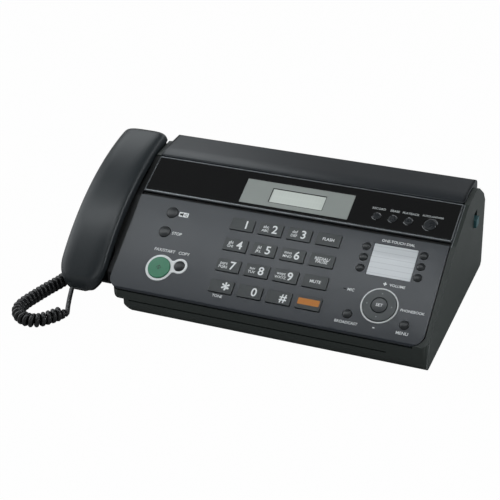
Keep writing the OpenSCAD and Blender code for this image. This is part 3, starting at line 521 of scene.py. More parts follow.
class Look(Enum):
    """The finishes of this machine."""

    CASE = Moulded("case_grain", "case_plastic", "2c322f", roughness=0.45, gloss=0.45)
    PANEL = Moulded("panel_grain", "panel_plastic", "242930", roughness=0.3)
    COVER = Moulded("cover_grain", "cover_plastic", "23272b", roughness=0.34)
    BLACK = Moulded("cradle_black", "black_plastic", "0f1011", roughness=0.45, gloss=0.35)
    BAND = Gloss("band_gloss", "band_black", "0d0e0f")
    BAND_KEY = Gloss("band_key", "band_button", "26292c", roughness=0.28, coat=0.2)
    BAND_RING = Metal("band_ring", "band_button", "c2c6c8", roughness=0.25, metallic=0.8)
    LABEL = Moulded("label_face", "label_grey", "999e9a", roughness=0.35, grain=0.3, depth=0.01)
    DISPLAY = Display("display_cell", "label_grey", "dde3dc")
    SILVER = Metal("silver_paint", "silver_trim", "85898c", roughness=0.3, metallic=0.85)
    RING_WHITE = Moulded("ring_white", "silver_trim", "eceeee", roughness=0.4, depth=0.01,
                         mottle=0.02)
    CARD = RuledCard("card_face", "card_stock", "d9dde0")
    KEY = Moulded("key_grain", "key_plastic", "2a2f30", roughness=0.36, depth=0.02)
    DOME = Moulded("dome_face", "key_plastic", "1d2022", roughness=0.34, grain=0.3, depth=0.002)
    GREEN = Moulded("start_green", "button_green", "2e7d5b", roughness=0.34, depth=0.01, coat=0.2)
    NAV = Moulded("nav_face", "nav_grey", "3b4041", roughness=0.34)
    SET = Moulded("set_face", "nav_grey", "2c3032", roughness=0.3)
    HANDSET = Moulded("handset_grain", "handset_plastic", "24292c", roughness=0.36)
    # The handset's inner shell: a darker copy of the handset plastic, painted shade for the shadow
    # on its underside and flank.
    HANDSET_IN = Moulded("handset_inner_shaded_grain", "handset_inner", "121314", gloss=0.35)
    TEAL = Moulded("lever_teal", "lever_teal", "2f585d", roughness=0.4)
    RUBBER = Rubber("foot_rubber", "rubber_black", "1b1b1c")
    ROLLER = Rubber("roller_rubber_ground", "roller_rubber", "262628", roughness=0.7, grain=0.4)
    PAPER = Sheet("thermal_paper", "paper_white", "e6e6e2")
    HEAD = Metal("head_aluminium", "head_metal", "a9aba9")
    SENSOR = Moulded("sensor_housing", "sensor_black", "26282a")
    BOARD = Board("board_mask", "board_green", "1f5a38")
    MOTOR = Metal("motor_zinc", "motor_metal", "9c9e9f")
    STEEL = Metal("screw_zinc", "screw_steel", "b0b2b2", roughness=0.28)
    CORD = CordSkin("cord_skin", "cord_black", "121314")
    WHITE_INK = Ink("ink_white", "key_plastic", "f2f4f4")
    BAND_INK = Ink("ink_band", "key_plastic", "c4c8c8")
    GREY_INK = Ink("ink_grey", "nav_grey", "8d9394")
    DARK_INK = Ink("ink_dark", "label_grey", "1d1f20")
    ORANGE_INK = Ink("ink_orange", "key_plastic", "c97c26")


# ------------------------------------------------------------------ outlines


def rectangle(x0: float, s0: float, x1: float, s1: float, radius: float = 0.0,
              steps: int = 5) -> Outline:
    """Returns a rectangle's outline, anticlockwise, with rounded corners."""
    if radius <= 0:
        return [(x0, s0), (x1, s0), (x1, s1), (x0, s1)]
    points: Outline = []
    for cx, cs, start in ((x1 - radius, s0 + radius, -90), (x1 - radius, s1 - radius, 0),
                          (x0 + radius, s1 - radius, 90), (x0 + radius, s0 + radius, 180)):
        points += arc((cx, cs), radius, start, start + 90, steps)
    return points


def field_outline(at: Point2, size: Point2, grow: float = 0.0, radius: float = 0.0) -> Outline:
    """Returns a rectangle's outline from its lower left corner and size, grown on every side."""
    return rectangle(at[0] - grow, at[1] - grow, at[0] + size[0] + grow, at[1] + size[1] + grow,
                     radius)


def arc(centre: Point2, radius: float, start: float, end: float, steps: int) -> Outline:
    """Returns the points of an arc, its ends among them, with angles in degrees."""
    angles = [math.radians(start + (end - start) * i / steps) for i in range(steps + 1)]
    return [(centre[0] + radius * math.cos(a), centre[1] + radius * math.sin(a)) for a in angles]


def disc(centre: Point2, radius: float, steps: int = 48) -> Outline:
    """Returns a circle's outline, anticlockwise."""
    return arc(centre, radius, 0, 360 - 360 / steps, steps - 1)


def start_surround(grow: float, big: float = 13.2, small: float = 7.6,
                   waist: float = 3.0) -> Outline:
    """Returns the outline of the pale surround of the start and copy buttons.

    Args:
        grow: how far the outline is grown.
        big: its radius round the start button.
        small: its radius round the copy button.
        waist: the radius of the hollow between them on either side.

    Returns:
        The outline, anticlockwise.
    """
    big, small, waist = big + grow, small + grow, waist - grow
    dx, ds = COPY_AT[0] - START_AT[0], COPY_AT[1] - START_AT[1]
    angle, span = math.atan2(ds, dx), math.hypot(dx, ds)
    turn, far, near = math.degrees(angle), big + waist, small + waist
    u = (span ** 2 + far ** 2 - near ** 2) / (2 * span)
    v = math.sqrt(far ** 2 - u ** 2)
    at_big, at_small = math.degrees(math.atan2(v, u)), math.degrees(math.atan2(v, u - span))

    def hollow(side: int) -> Outline:
        """Returns the waist's arc on one side of the line between the buttons."""
        middle = (START_AT[0] + u * math.cos(angle) - side * v * math.sin(angle),
                  START_AT[1] + u * math.sin(angle) + side * v * math.cos(angle))
        ends = (turn + side * (at_small - 180), turn + side * (at_big - 180))
        return arc(middle, waist, *(ends if side > 0 else ends[::-1]), 8)[1:-1]

    return (arc(START_AT, big, turn + at_big, turn + 360 - at_big, 48) + hollow(-1)
            + arc(COPY_AT, small, turn - at_small, turn + at_small, 32) + hollow(1))


# ------------------------------------------------------------------ bench


class Bench:
    """Modelling steps on Blender's operators, all in a slope's millimetres until placed."""

    @staticmethod
    def take(*objects: bpy.types.Object) -> None:
        """Selects these objects alone, the first as the active one."""
        bpy.ops.object.select_all(action="DESELECT")
        for item in objects:
            item.select_set(True)
        bpy.context.view_layer.objects.active = objects[0]

    @staticmethod
    @contextmanager
    def editing(item: bpy.types.Object) -> Iterator[None]:
        """Keeps the object in edit mode for a block of steps."""
        Bench.take(item)
        bpy.ops.object.mode_set(mode="EDIT")
        try:
            yield
        finally:
            bpy.ops.object.mode_set(mode="OBJECT")

    @staticmethod
    def put(name: str, data: bpy.types.ID) -> bpy.types.Object:
        """Puts a new object with that data into the scene."""
        item = bpy.data.objects.new(name, data)
        bpy.context.scene.collection.objects.link(item)
        return item

    @staticmethod
    def make(name: str, operator: Callable, **settings: object) -> bpy.types.Object:
        """Adds a primitive at the origin with one of Blender's operators."""
        bpy.ops.object.select_all(action="DESELECT")
        operator(location=(0, 0, 0), **settings)
        item = bpy.context.view_layer.objects.active
        item.name = item.data.name = name
        return item

    @staticmethod
    def to_mesh(item: bpy.types.Object) -> bpy.types.Object:
        """Turns a curve or a text into a mesh."""
        Bench.take(item)
        bpy.ops.object.convert(target="MESH")
        return bpy.context.view_layer.objects.active

    @staticmethod
    def pick(item: bpy.types.Object, kind: str, test: Callable[[object], bool]) -> None:
        """Selects an edited mesh's elements.

        Args:
            item: the object in edit mode.
            kind: EDGE or FACE.
            test: says of one element whether it is wanted.
        """
        bpy.ops.mesh.select_mode(type=kind)
        bpy.ops.mesh.select_all(action="DESELECT")
        mesh = bmesh.from_edit_mesh(item.data)
        for element in mesh.edges if kind == "EDGE" else mesh.faces:
            if test(element):
                element.select_set(True)
        mesh.select_flush_mode()
        bmesh.update_edit_mesh(item.data)

    @staticmethod
    def modify(item: bpy.types.Object, kind: str, **settings: object) -> None:
        """Adds one modifier and applies it."""
        modifier = item.modifiers.new(kind.lower(), kind)
        for key, value in settings.items():
            setattr(modifier, key, value)
        Bench.take(item)
        bpy.ops.object.modifier_apply(modifier=modifier.name)

    @staticmethod
    def soften(item: bpy.types.Object, width: float, segments: int = 3, angle: float = 35.0,
               wide: float = 0.0) -> None:
        """Rounds a mesh's sharp edges and shades it smooth between them.

        Args:
            item: the mesh object.
            width: the rounding's width.
            segments: faces across the rounding.
            angle: the least angle in degrees of an edge that is rounded.
            wide: the mean breadth above which a face is shaded flat; none is at 0.
        """
        Bench.modify(item, "BEVEL", width=width, segments=segments, limit_method="ANGLE",
                     angle_limit=math.radians(angle), harden_normals=False)
        if wide <= 0:
            Bench.shade(item)
            return
        Bench.take(item)
        bpy.ops.object.shade_smooth_by_angle(angle=math.radians(SMOOTH_ANGLE))
        with Bench.editing(item):
            Bench.pick(item, "FACE",
                       lambda f: f.calc_area() > wide * max(e.calc_length() for e in f.edges))
            bpy.ops.mesh.faces_shade_flat()

    @staticmethod
    def shade(item: bpy.types.Object, angle: float = SMOOTH_ANGLE) -> bpy.types.Object:
        """Shades a mesh smooth below an angle, with flat faces kept flat, and returns it."""
        Bench.take(item)
        bpy.ops.object.shade_smooth_by_angle(angle=math.radians(angle))
        Bench.modify(item, "WEIGHTED_NORMAL", keep_sharp=True, weight=90)
        return item

    @staticmethod
    def simplify(item: bpy.types.Object) -> None:
        """Merges a mesh's doubled points and dissolves the edges within its flat faces."""
        with Bench.editing(item):
            bpy.ops.mesh.select_all(action="SELECT")
            bpy.ops.mesh.remove_doubles(threshold=MERGE)
            bpy.ops.mesh.dissolve_limited(angle_limit=math.radians(FLAT_ANGLE))

    @staticmethod
    def plate(name: str, outlines: Sequence[Outline], low: float, high: float,
              bevel: float = 0.3, rings: int = 2) -> bpy.types.Object:
        """Makes a flat plate with holes, its edges rounded.

        Args:
            name: the object's name.
            outlines: closed outlines as (x, s) points, the outer one first.
            low: height of the underside.
            high: height of the upper side.
            bevel: radius of the rounded edges.
            rings: faces across that rounding, less one.

        Returns:
            The plate as a mesh object.
        """
        curve = bpy.data.curves.new(name, "CURVE")
        curve.dimensions = "2D"
        curve.fill_mode = "BOTH"
        for outline in outlines:
            spline = curve.splines.new("POLY")
            spline.points.add(len(outline) - 1)
            for point, (x, s) in zip(spline.points, outline):
                point.co = (x, s, 0.0, 1.0)
            spline.use_cyclic_u = True
        bevel = min(bevel, (high - low) * 0.49)
        curve.extrude = (high - low) / 2 - bevel
        curve.bevel_depth = bevel
        curve.bevel_resolution = rings
        curve.offset = -bevel
        item = Bench.to_mesh(Bench.put(name, curve))
        item.data.transform(Matrix.Translation((0, 0, (low + high) / 2)))
        with Bench.editing(item):
            bpy.ops.mesh.select_all(action="SELECT")
            bpy.ops.mesh.remove_doubles(threshold=0.0005)
            bpy.ops.mesh.normals_make_consistent(inside=False)
        return item

    @staticmethod
    def profile(name: str, outline: Outline, x0: float, x1: float,
                bevel: float) -> bpy.types.Object:
        """Makes a solid from a side profile of (y, z) points, drawn from x0 to x1."""
        item = Bench.plate(name, [outline], x0, x1, bevel)
        item.data.transform(Matrix(((0, 0, 1, 0), (1, 0, 0, 0), (0, 1, 0, 0), (0, 0, 0, 1))))
        return item

    @staticmethod
    def box(name: str, low: Point3, high: Point3, bevel: float = 0.3) -> bpy.types.Object:
        """Makes a block between two corners, with its edges bevelled."""
        centre = [(a + b) / 2 for a, b in zip(low, high)]
        item = Bench.make(name, bpy.ops.mesh.primitive_cube_add, size=1.0)
        size = Matrix.Diagonal([b - a for a, b in zip(low, high)]).to_4x4()
        item.data.transform(Matrix.Translation(centre) @ size)
        if bevel > 0:
            with Bench.editing(item):
                bpy.ops.mesh.select_all(action="SELECT")
                bpy.ops.mesh.bevel(offset=bevel, segments=2, affect="EDGES")
        return item

    @staticmethod
    def copy_node(node: str, name: str) -> bpy.types.Object:
        """Makes a merged copy of a CAD node's mesh, in the level frame's millimetres."""
        item = Bench.put(name, frame["nodes"][node].data.copy())
        item.data.materials.clear()
        item.data.transform(LEVEL.matrix().inverted())
        Bench.simplify(item)
        return item

    @staticmethod
    def join(name: str, items: Sequence[bpy.types.Object]) -> bpy.types.Object:
        """Joins meshes into one object."""
        if len(items) > 1:
            Bench.take(*items)
            bpy.ops.object.join()
        items[0].name = name
        items[0].data.name = name
        return items[0]

    @staticmethod
    def clone(item: bpy.types.Object, name: str, move: Point3) -> bpy.types.Object:
        """Copies an object with a mesh of its own, moved in its frame."""
        copy = Bench.put(name, item.data.copy())
        copy.data.transform(Matrix.Translation(move))
        return copy

    @staticmethod
    def dress(item: bpy.types.Object, look: Look) -> bpy.types.Object:
        """Gives a whole mesh one finish."""
        item.data.materials.clear()
        item.data.materials.append(look.value.material())
        return item

    @staticmethod
    def settle(item: bpy.types.Object, slope: Slope, body: str, look: "Look | None" = None,
               nodes: Sequence[str] = ()) -> None:
        """Places a finished piece and hands it to its body.

        Args:
            item: the piece, in the slope's millimetres.
            slope: the frame that it was made in.
            body: the body that it rides on.
            look: its finish, unless it has its materials already.
            nodes: the CAD nodes that it stands for.
        """
        item.data.transform(slope.matrix())
        if look is not None:
            Bench.dress(item, look)
        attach(item, body)
        if nodes:
            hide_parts(*nodes)
        LOG.info("%s: %d faces on %s", item.name, len(item.data.polygons), body)


@dataclass(frozen=True)
class Word:
    """A printed word: its letters, its middle's place, its capitals' height and its boldness."""

    letters: str
    x: float
    s: float
    height: float
    bold: float = 0.03
    depth: float = 0.03
    lift: float = 0.025

    def mesh(self, top: float) -> bpy.types.Object:
        """Returns the word as a thin mesh that lies on the height top."""
        item = Bench.make("word", bpy.ops.object.text_add)
        text = item.data
        text.body = self.letters
        text.size = self.height / CAPITAL
        text.align_x = text.align_y = "CENTER"
        text.extrude = self.depth
        text.offset = self.bold * self.height / 2
        text.resolution_u = 3
        item = Bench.to_mesh(item)
        item.data.transform(Matrix.Translation((self.x, self.s, top + self.lift)))
        return item


# ------------------------------------------------------------------ case


@dataclass
class Case:
    """The lower case, the cradle, the hook, the cover's lever and the document guides."""

    wide: float = 2.0
    parts: tuple[tuple[str, Look, float], ...] = (
        ("lower_case", Look.CASE, 0.5), ("handset_cradle", Look.BLACK, 0.5),
        ("hook_switch", Look.BLACK, 0.4), ("cover_lever", Look.TEAL, 0.35),
        ("document_guide_left", Look.COVER, 0.3), ("document_guide_right", Look.COVER, 0.3))

    def build(self) -> None:
        """Copies each part, rounds its edges by its own width and gives it its finish."""
        for node, look, width in self.parts:
            item = Bench.copy_node(node, node + "_shell")
            Bench.soften(item, width, wide=self.wide)
            body = node if node in frame["bodies"] else "base"
            Bench.settle(item, LEVEL, body, look, [node])


@dataclass
class Inside:
    """The works under the cover: they keep their solids and take their finishes.

    A roller's rubber lies beyond a radius from its axis, given with it as (y, z). The heights
    and board_left part the other pieces' two finishes. All are the level frame's millimetres.
    """

    plain: tuple[tuple[str, Look], ...] = (
        ("rubber_feet", Look.RUBBER), ("case_screws", Look.STEEL), ("paper_roll", Look.PAPER),
        ("drive_motor", Look.MOTOR), ("key_board", Look.BOARD))
    platen: tuple[Point2, float] = ((158.0, 76.0), 7.5)
    feed: tuple[Point2, float] = ((60.0, 44.3), 5.0)
    head_top: float = 66.75
    sensor_top: float = 36.9
    board_top: float = 9.8
    board_left: float = -280.0

    def build(self) -> None:
        """Dresses the boards, rollers, paper, heads, motor, feet and screws."""
        for node, look in self.plain:
            Bench.dress(frame["nodes"][node], look)
        for node, first, second, test in (
                ("platen_roller", Look.ROLLER, Look.STEEL, self.off_axis(*self.platen)),
                ("feed_roller", Look.ROLLER, Look.STEEL, self.off_axis(*self.feed)),
                ("thermal_head", Look.HEAD, Look.SENSOR, lambda c: c[2] > self.head_top),
                ("image_sensor", Look.DISPLAY, Look.SENSOR, lambda c: c[2] > self.sensor_top),
                ("circuit_boards", Look.BOARD, Look.SENSOR,
                 lambda c: c[2] < self.board_top and c[0] > self.board_left)):
            self.split(node, first, second, test)

    @staticmethod
    def off_axis(axis: Point2, radius: float) -> Callable[[Vector], bool]:
        """Returns a test for faces that lie further than a radius from an axis along X."""
        return lambda c: math.hypot(c[1] - axis[0], c[2] - axis[1]) > radius

    @staticmethod
    def split(node: str, first: Look, second: Look, test: Callable[[Vector], bool]) -> None:
        """Gives a CAD node two finishes, the first where the test holds for a face's middle."""
        mesh = frame["nodes"][node].data
        mesh.materials.clear()
        for look in (first, second):
            mesh.materials.append(look.value.material())
        to_fit = LEVEL.matrix().inverted()
        for face in mesh.polygons:
            face.material_index = 0 if test(to_fit @ face.center) else 1


# ------------------------------------------------------------------ opening cover


@dataclass(frozen=True)
class RoundKey:
    """A round push button, whose dome is turned in steps, each a share of the radius."""

    node: str
    at: Point2
    radius: float
    look: Look = Look.DOME
    top: float = 1.2
    slope: Slope = PANEL
    dome: float = 0.7
    steps: tuple[float, ...] = (0.12, 0.14, 0.16, 0.18, 0.2)

    def build(self) -> None:
        """Makes the cap with its rounded rim, its top, domed or flat, and its hidden skirt."""
        low = -PLATE_T - SKIRT
        item = Bench.make(self.node + "_cap", bpy.ops.mesh.primitive_cylinder_add, vertices=48,
                          radius=self.radius, depth=self.top - low)
        half = (self.top - low) / 2
        with Bench.editing(item):
            for share in self.steps if self.dome else ():
                Bench.pick(item, "FACE", lambda f: f.normal.z > 0.9 and len(f.verts) > 8)
                bpy.ops.mesh.inset(thickness=self.radius * share)
            if self.dome:
                for vert in bmesh.from_edit_mesh(item.data).verts:
                    if vert.co.z > half - 0.01:
                        vert.co.z -= self.dome * (vert.co.xy.length / self.radius) ** 2
                bmesh.update_edit_mesh(item.data)
            Bench.pick(item, "EDGE", lambda e: all(
                v.co.z > half - self.dome - 0.01 and v.co.xy.length > self.radius * 0.99
                for v in e.verts))
            bpy.ops.mesh.bevel(offset=min(0.5, self.radius * 0.12), segments=3, affect="EDGES")
            Bench.pick(item, "FACE", lambda f: f.normal.z < -0.9)
            bpy.ops.mesh.inset(thickness=0.05)
            bpy.ops.transform.resize(value=((self.radius + 1) / self.radius,) * 2 + (1,))
        Bench.shade(item)
        item.data.transform(Matrix.Translation((*self.at, (self.top + low) / 2)))
        Bench.settle(item, self.slope, self.node, self.look, [self.node])


@dataclass
class Buttons:
    """All the round buttons and the navigator's disc."""

    band: "Band"
    answers: tuple[str, ...] = ("record_button", "erase_button", "playback_button")

    def build(self) -> None:
        """Builds the panel's buttons, the band's four and the navigator's disc."""
        plain = [RoundKey(*entry) for entry in ROUNDS]
        keys = [*plain[:2], RoundKey("start_button", START_AT, START_R, Look.GREEN, 1.6, dome=0.0),
                RoundKey("copy_button", COPY_AT, COPY_R),
                RoundKey("set_button", NAV_AT, SET_R, Look.SET, 1.8, dome=0.25), *plain[2:]]
        band = self.band
        for node, at, radius, dome in (
                *((node, at, band.answer_r, 0.3) for node, at in zip(self.answers, band.answers)),
                ("auto_answer_button", band.auto, band.auto_r, 0.4)):
            keys.append(RoundKey(node, at, radius, Look.BAND_KEY, 0.9, BAND, dome))
        for key in keys:
            key.build()
        face = Bench.plate("navigator_face", [disc(NAV_AT, NAV_R, 64), disc(NAV_AT, SET_R + GAP)],
                           -PLATE_T - SKIRT, 1.6, 0.5)
        Bench.settle(Bench.shade(face), PANEL, "navigator_disc", Look.NAV, ["navigator_disc"])


@dataclass
class ControlPanel:
    """The sloping panel: its pierced skin, its cheeks, its name card and the gap's wall."""

    front: float = 1.077
    roll: float = 2.0
    left_corner: float = 8.0
    right_corner: float = 9.0
    right_gap: float = 0.7
    edge: float = 2.5
    run_in: float = 3.0
    lip: float = 1.1
    keypad: Point2 = (-203.0, 13.0)
    pitch: Point2 = (27.8, 21.3)
    key: Point2 = (22.9, 12.4)
    slot_at: Point2 = (-82.0, 39.7)
    slot_size: Point2 = (3.0, 0.8)

    def key_outline(self, index: int, grow: float, radius: float = 1.0) -> Outline:
        """Returns the outline of one of the sixteen keys, counted along the rows from the top."""
        x = self.keypad[0] + index % 4 * self.pitch[0]
        s = self.keypad[1] + (3 - index // 4) * self.pitch[1]
        return field_outline((x, s), self.key, grow, radius)

    def skin_profile(self) -> Outline:
        """Returns the skin's side profile in the panel's frame, with its rolled front edge."""
        roll = arc((self.front, -self.roll), self.roll, 90, 345, 17)
        return [(PANEL_LEN, 0.0), *roll, (PANEL_LEN, -PLATE_T)]

    def cutters(self) -> list[Outline]:
        """Returns the outlines of all holes."""
        holes = [self.key_outline(i, GAP) for i in range(16)]
        holes += [disc(at, radius + GAP) for _, at, radius in ROUNDS]
        holes += [start_surround(0.15), disc(NAV_AT, 16.8), field_outline(CARD_AT, CARD_SIZE)]
        (x, s), (width, depth) = self.slot_at, self.slot_size
        return holes + [rectangle(x, s, x + width, s + depth, 0.39, 3)]

    def plan(self) -> Outline:
        """Returns the skin's outline seen square to the panel."""
        side = self.right_gap
        return [*self.sweep(-self.right_corner - self.run_in,
                            self.right_corner + self.run_in - side, 1),
                (-side, PANEL_LEN + 5), (-PANEL_W, PANEL_LEN + 5),
                *self.sweep(-PANEL_W + self.left_corner + self.run_in,
                            self.left_corner + self.run_in, -1)]

    def sweep(self, x: float, reach: float, side: int) -> Outline:
        """Returns a front corner's curve, from the front edge at x to the panel's side."""
        tip, end = self.front - self.roll, self.edge + self.right_corner
        turn = [math.radians(90 * i / 12) for i in range(13)]
        curve = [(x + side * reach * math.sin(a), end - (end - tip) * math.cos(a)) for a in turn]
        return curve if side > 0 else curve[::-1]

    def relief(self) -> list[Outline]:
        """Returns the two outlines under which the front corners are only a thin lip."""
        right, left, edge = self.right_corner, self.left_corner, self.edge
        return [[(-right - 0.5, -3.0), (1.0, -3.0), (1.0, edge + right),
                 (-self.right_gap, edge + right),
                 *arc((-right, edge + right), right - self.right_gap, 0, -90, 10),
                 (-right - 0.5, edge)],
                [(-PANEL_W - 1.0, -3.0), (-PANEL_W + left + 0.5, -3.0),
                 (-PANEL_W + left + 0.5, edge),
                 *arc((-PANEL_W + left, edge + left), left, -90, -180, 8),
                 (-PANEL_W - 1.0, edge + left)]]

    def skin(self) -> bpy.types.Object:
        """Returns the skin: the profile drawn across, cut to its plan and pierced."""
        item = Bench.profile("control_panel_skin", self.skin_profile(), -PANEL_W, 0.0, 0.001)
        for outlines, low, high, operation in (([self.plan()], -8, 3, "INTERSECT"),
                                               (self.relief(), -9, -self.lip, "DIFFERENCE"),
                                               (self.cutters(), -6, 3, "DIFFERENCE")):
            cutter = Bench.join("cutter", [Bench.plate("cutter", [outline], low, high, 0.001)
                                           for outline in outlines])
            Bench.modify(item, "BOOLEAN", object=cutter, operation=operation, solver="EXACT")
            bpy.data.objects.remove(cutter)
        Bench.simplify(item)
        Bench.soften(item, 0.35, 3, SMOOTH_ANGLE)
        return item

    def build(self) -> None:
        """Builds the skin, the card floor, the gap wall, the cheeks and the card."""
        skin = self.skin()
        near, _, far, _ = field_outline(CARD_AT, CARD_SIZE, 0.4)
        floor = Bench.box("card_floor", (*near, -PLATE_T - 1), (*far, -PLATE_T - 0.02), 0.2)
        whole = Bench.join("control_panel_skin", [skin, floor])
        Bench.settle(whole, PANEL, "cover", Look.PANEL, ["control_panel"])
        wall = Bench.box("gap_wall", (-PANEL_W + 0.2, -0.8, -PLATE_T - 2),
                         (-0.2, 5.4, -PLATE_T - 0.5), 0.2)
        Bench.settle(wall, BAND, "cover", Look.BLACK)
        for name, x0 in (("cheek_left", -PANEL_W), ("cheek_right", -PLATE_T)):
            self.cheek(name, x0)
        card = Bench.plate("name_card", [field_outline(CARD_AT, CARD_SIZE, -0.3, 0.6)],
                           -PLATE_T, -0.3, 0.15)
        Bench.settle(Bench.shade(card), PANEL, "cover", Look.CARD, ["directory_card"])

    @staticmethod
    def cheek(name: str, x0: float) -> None:
        """Builds one of the cover's side cheeks, which carry the feed roller."""
        outline = [(11.0, 23.9), (40.0, 23.9), (52.0, 36.3), (68.0, 36.3), (101.5, 62.0),
                   (171.97, 77.1), (171.97, 90.1), (126.97, 90.1), (126.5, 95.1), (124.5, 95.85),
                   (82.0, 77.5), (80.5, 77.3), (11.0, 30.6)]
        item = Bench.profile(name, outline, x0 + 0.02, x0 + 2.48, 0.3)
        Bench.settle(Bench.shade(item), LEVEL, "cover", Look.BLACK)


@dataclass
class Band:
    """The glossy display band: its plate, label, window, bright lines and rings."""

    gap: float = 4.5
    strip: float = 2.5
    edge: float = 1.2
    top: float = 1.4
    label: Point2 = (-204.3, 10.0)
    label_size: Point2 = (106.0, 28.5)
    answers: tuple[Point2, ...] = ((-73.1, 19.0), (-58.2, 19.0), (-43.6, 19.0))
    answer_r: float = 3.5
    auto: Point2 = (-23.6, 19.2)
    auto_r: float = 5.6

    def build(self) -> None:
        """Builds the plate, the label with its window and the window's black rim of painted shade,
        the trims and the rings.
        """
        holes = [field_outline(self.label, self.label_size, 0.0, 0.8)]
        holes += [disc(at, self.answer_r + GAP) for at in self.answers]
        holes.append(disc(self.auto, self.auto_r + GAP))
        outline = rectangle(-PANEL_W + self.edge, self.gap + self.strip, -self.edge,
                            BAND_LEN - self.top)
        self.piece("band_plate", [outline, *holes], 0.0, 0.3, Look.BAND, ["display_band"])
        face = Bench.plate("label_plate", [field_outline(self.label, self.label_size, -0.1, 0.7),
                                           field_outline(WINDOW_AT, WINDOW_SIZE, 0.0, 0.8)],
                           -PLATE_T, -0.2, 0.2)
        (x, s), (width, depth) = self.label, self.label_size
        case = Bench.box("label_box", (x - 3, s - 2, -PLATE_T - 4),
                         (x + width + 3, s + depth + 2, -PLATE_T), 0.3)
        whole = Bench.shade(Bench.join("label_plate", [face, case]))
        Bench.settle(whole, BAND, "cover", Look.LABEL, ["lcd_module"])
        # A black rim round the display's window: painted shade for the shadow on the window's
        # recessed edges.
        self.piece("display_shade_rim", [field_outline(WINDOW_AT, WINDOW_SIZE, 0.1, 0.9),
                                     field_outline(WINDOW_AT, WINDOW_SIZE, -0.6, 0.5)],
                   -0.35, 0.15, Look.BLACK)
        self.piece("display_glass", [field_outline(WINDOW_AT, WINDOW_SIZE, -0.05, 0.7)],
                   -0.9, 0.15, Look.DISPLAY)
        self.trims()
        self.rings()

    @staticmethod
    def piece(name: str, outlines: Sequence[Outline], high: float, bevel: float, look: Look,
              nodes: Sequence[str] = ()) -> None:
        """Builds one flat piece of the band, as deep as its plate."""
        item = Bench.plate(name, outlines, -PLATE_T, high, bevel)
        Bench.settle(Bench.shade(item), BAND, "cover", look, nodes)

    def trims(self) -> None:
        """Builds the bright lines round the band, each one half round, and the base's silver strip,
        a painted highlight along the case's dark rim.
        """
        start = self.gap + self.strip
        low = rectangle(-PANEL_W, self.gap, -0.4, start)
        high = rectangle(-PANEL_W + self.edge, BAND_LEN - self.top, -self.edge, BAND_LEN - 0.1)
        bars = [Bench.plate("trim", [low], -PLATE_T, 0.3, 1.2, 6),
                Bench.plate("trim", [high], -PLATE_T, 0.2, 0.62, 5)]
        for x in (-PANEL_W, -self.edge - 0.2):
            side = rectangle(x + 0.1, start - 0.4, x + self.edge, BAND_LEN - 0.2, 0.3)
            bars.append(Bench.plate("trim", [side], -PLATE_T, 0.2, 0.5, 5))
        trims = Bench.shade(Bench.join("band_trims", bars), 50)
        Bench.settle(trims, BAND, "cover", Look.SILVER)
        # A silver strip on the case's rim beside the band: painted highlight for the light along
        # the dark rim's edge.
        strip = Bench.plate("rim_highlight_strip", [rectangle(0.8, -1.5, 1.55, BAND_LEN - 1.0, 0.3)],
                            -0.6, 0.24, 0.2)
        Bench.settle(Bench.shade(strip), BAND, "base", Look.SILVER)

    def rings(self) -> None:
        """Builds the printed ring round each button, in two arcs."""
        rings = []
        for at, radius in (*((at, self.answer_r + 0.3) for at in self.answers),
                           (self.auto, self.auto_r + 0.8)):
            for turn, sweep in ((15, 95), (195, 80)):
                outline = (arc(at, radius + 0.55, turn, turn + sweep, 12)
                           + arc(at, radius, turn + sweep, turn, 12))
                rings.append(Bench.plate("ring", [outline], 0.0, 0.16, 0.06))
        ring = Bench.shade(Bench.join("button_rings", rings))
        Bench.settle(ring, BAND, "cover", Look.BAND_RING)


@dataclass
class Surrounds:
    """The pale surround of start and copy, and the navigator's ring."""

    def build(self) -> None:
        """Builds both surrounds as one piece of the trims."""
        outlines = [start_surround(0.0), disc(START_AT, START_R + GAP), disc(COPY_AT, COPY_R + GAP)]
        start = Bench.plate("start_surround", outlines, -PLATE_T, 0.4, 0.3)
        circles = [disc(NAV_AT, 16.7, 64), disc(NAV_AT, NAV_R + GAP, 64)]
        ring = Bench.plate("navigator_ring", circles, -PLATE_T, 0.8, 0.35)
        item = Bench.shade(Bench.join("start_surround", [start, ring]))
        Bench.settle(item, PANEL, "cover", Look.RING_WHITE, ["panel_trims"])


@dataclass
class TopCover:
    """The top cover with its rolled rear edge."""

    y0: float = 126.97
    y1: float = 174.97
    crest: float = 102.61
    low: float = 90.11
    roll: float = 9.0
    wall: float = 2.5

    def build(self) -> None:
        """Builds the hollow cover from its profile, with its two ends."""
        low, crest, wall = self.low, self.crest, self.wall
        centre = (self.y1 - self.roll, crest - self.roll)
        outer = [(self.y0, low), (self.y0, 99.6), (self.y0 + 1.2, 100.6), (self.y0 + 7, 101.9),
                 (self.y0 + 15, crest), *arc(centre, self.roll, 78, 0, 10), (self.y1, low)]
        inner = [(self.y1 - wall, low), *arc(centre, self.roll - wall, 0, 78, 8),
                 (self.y0 + 15, crest - wall), (self.y0 + wall, 97.4), (self.y0 + wall, low)]
        shell = Bench.profile("top_cover_shell", outer[::-1] + inner[::-1], -PANEL_W, 0.0, 0.3)
        ends = [Bench.profile("end", outer[::-1], x, x + wall, 0.3)
                for x in (-PANEL_W + 0.03, -wall - 0.03)]
        item = Bench.shade(Bench.join("top_cover_shell", [shell, *ends]))
        Bench.settle(item, LEVEL, "cover", Look.COVER, ["top_cover"])


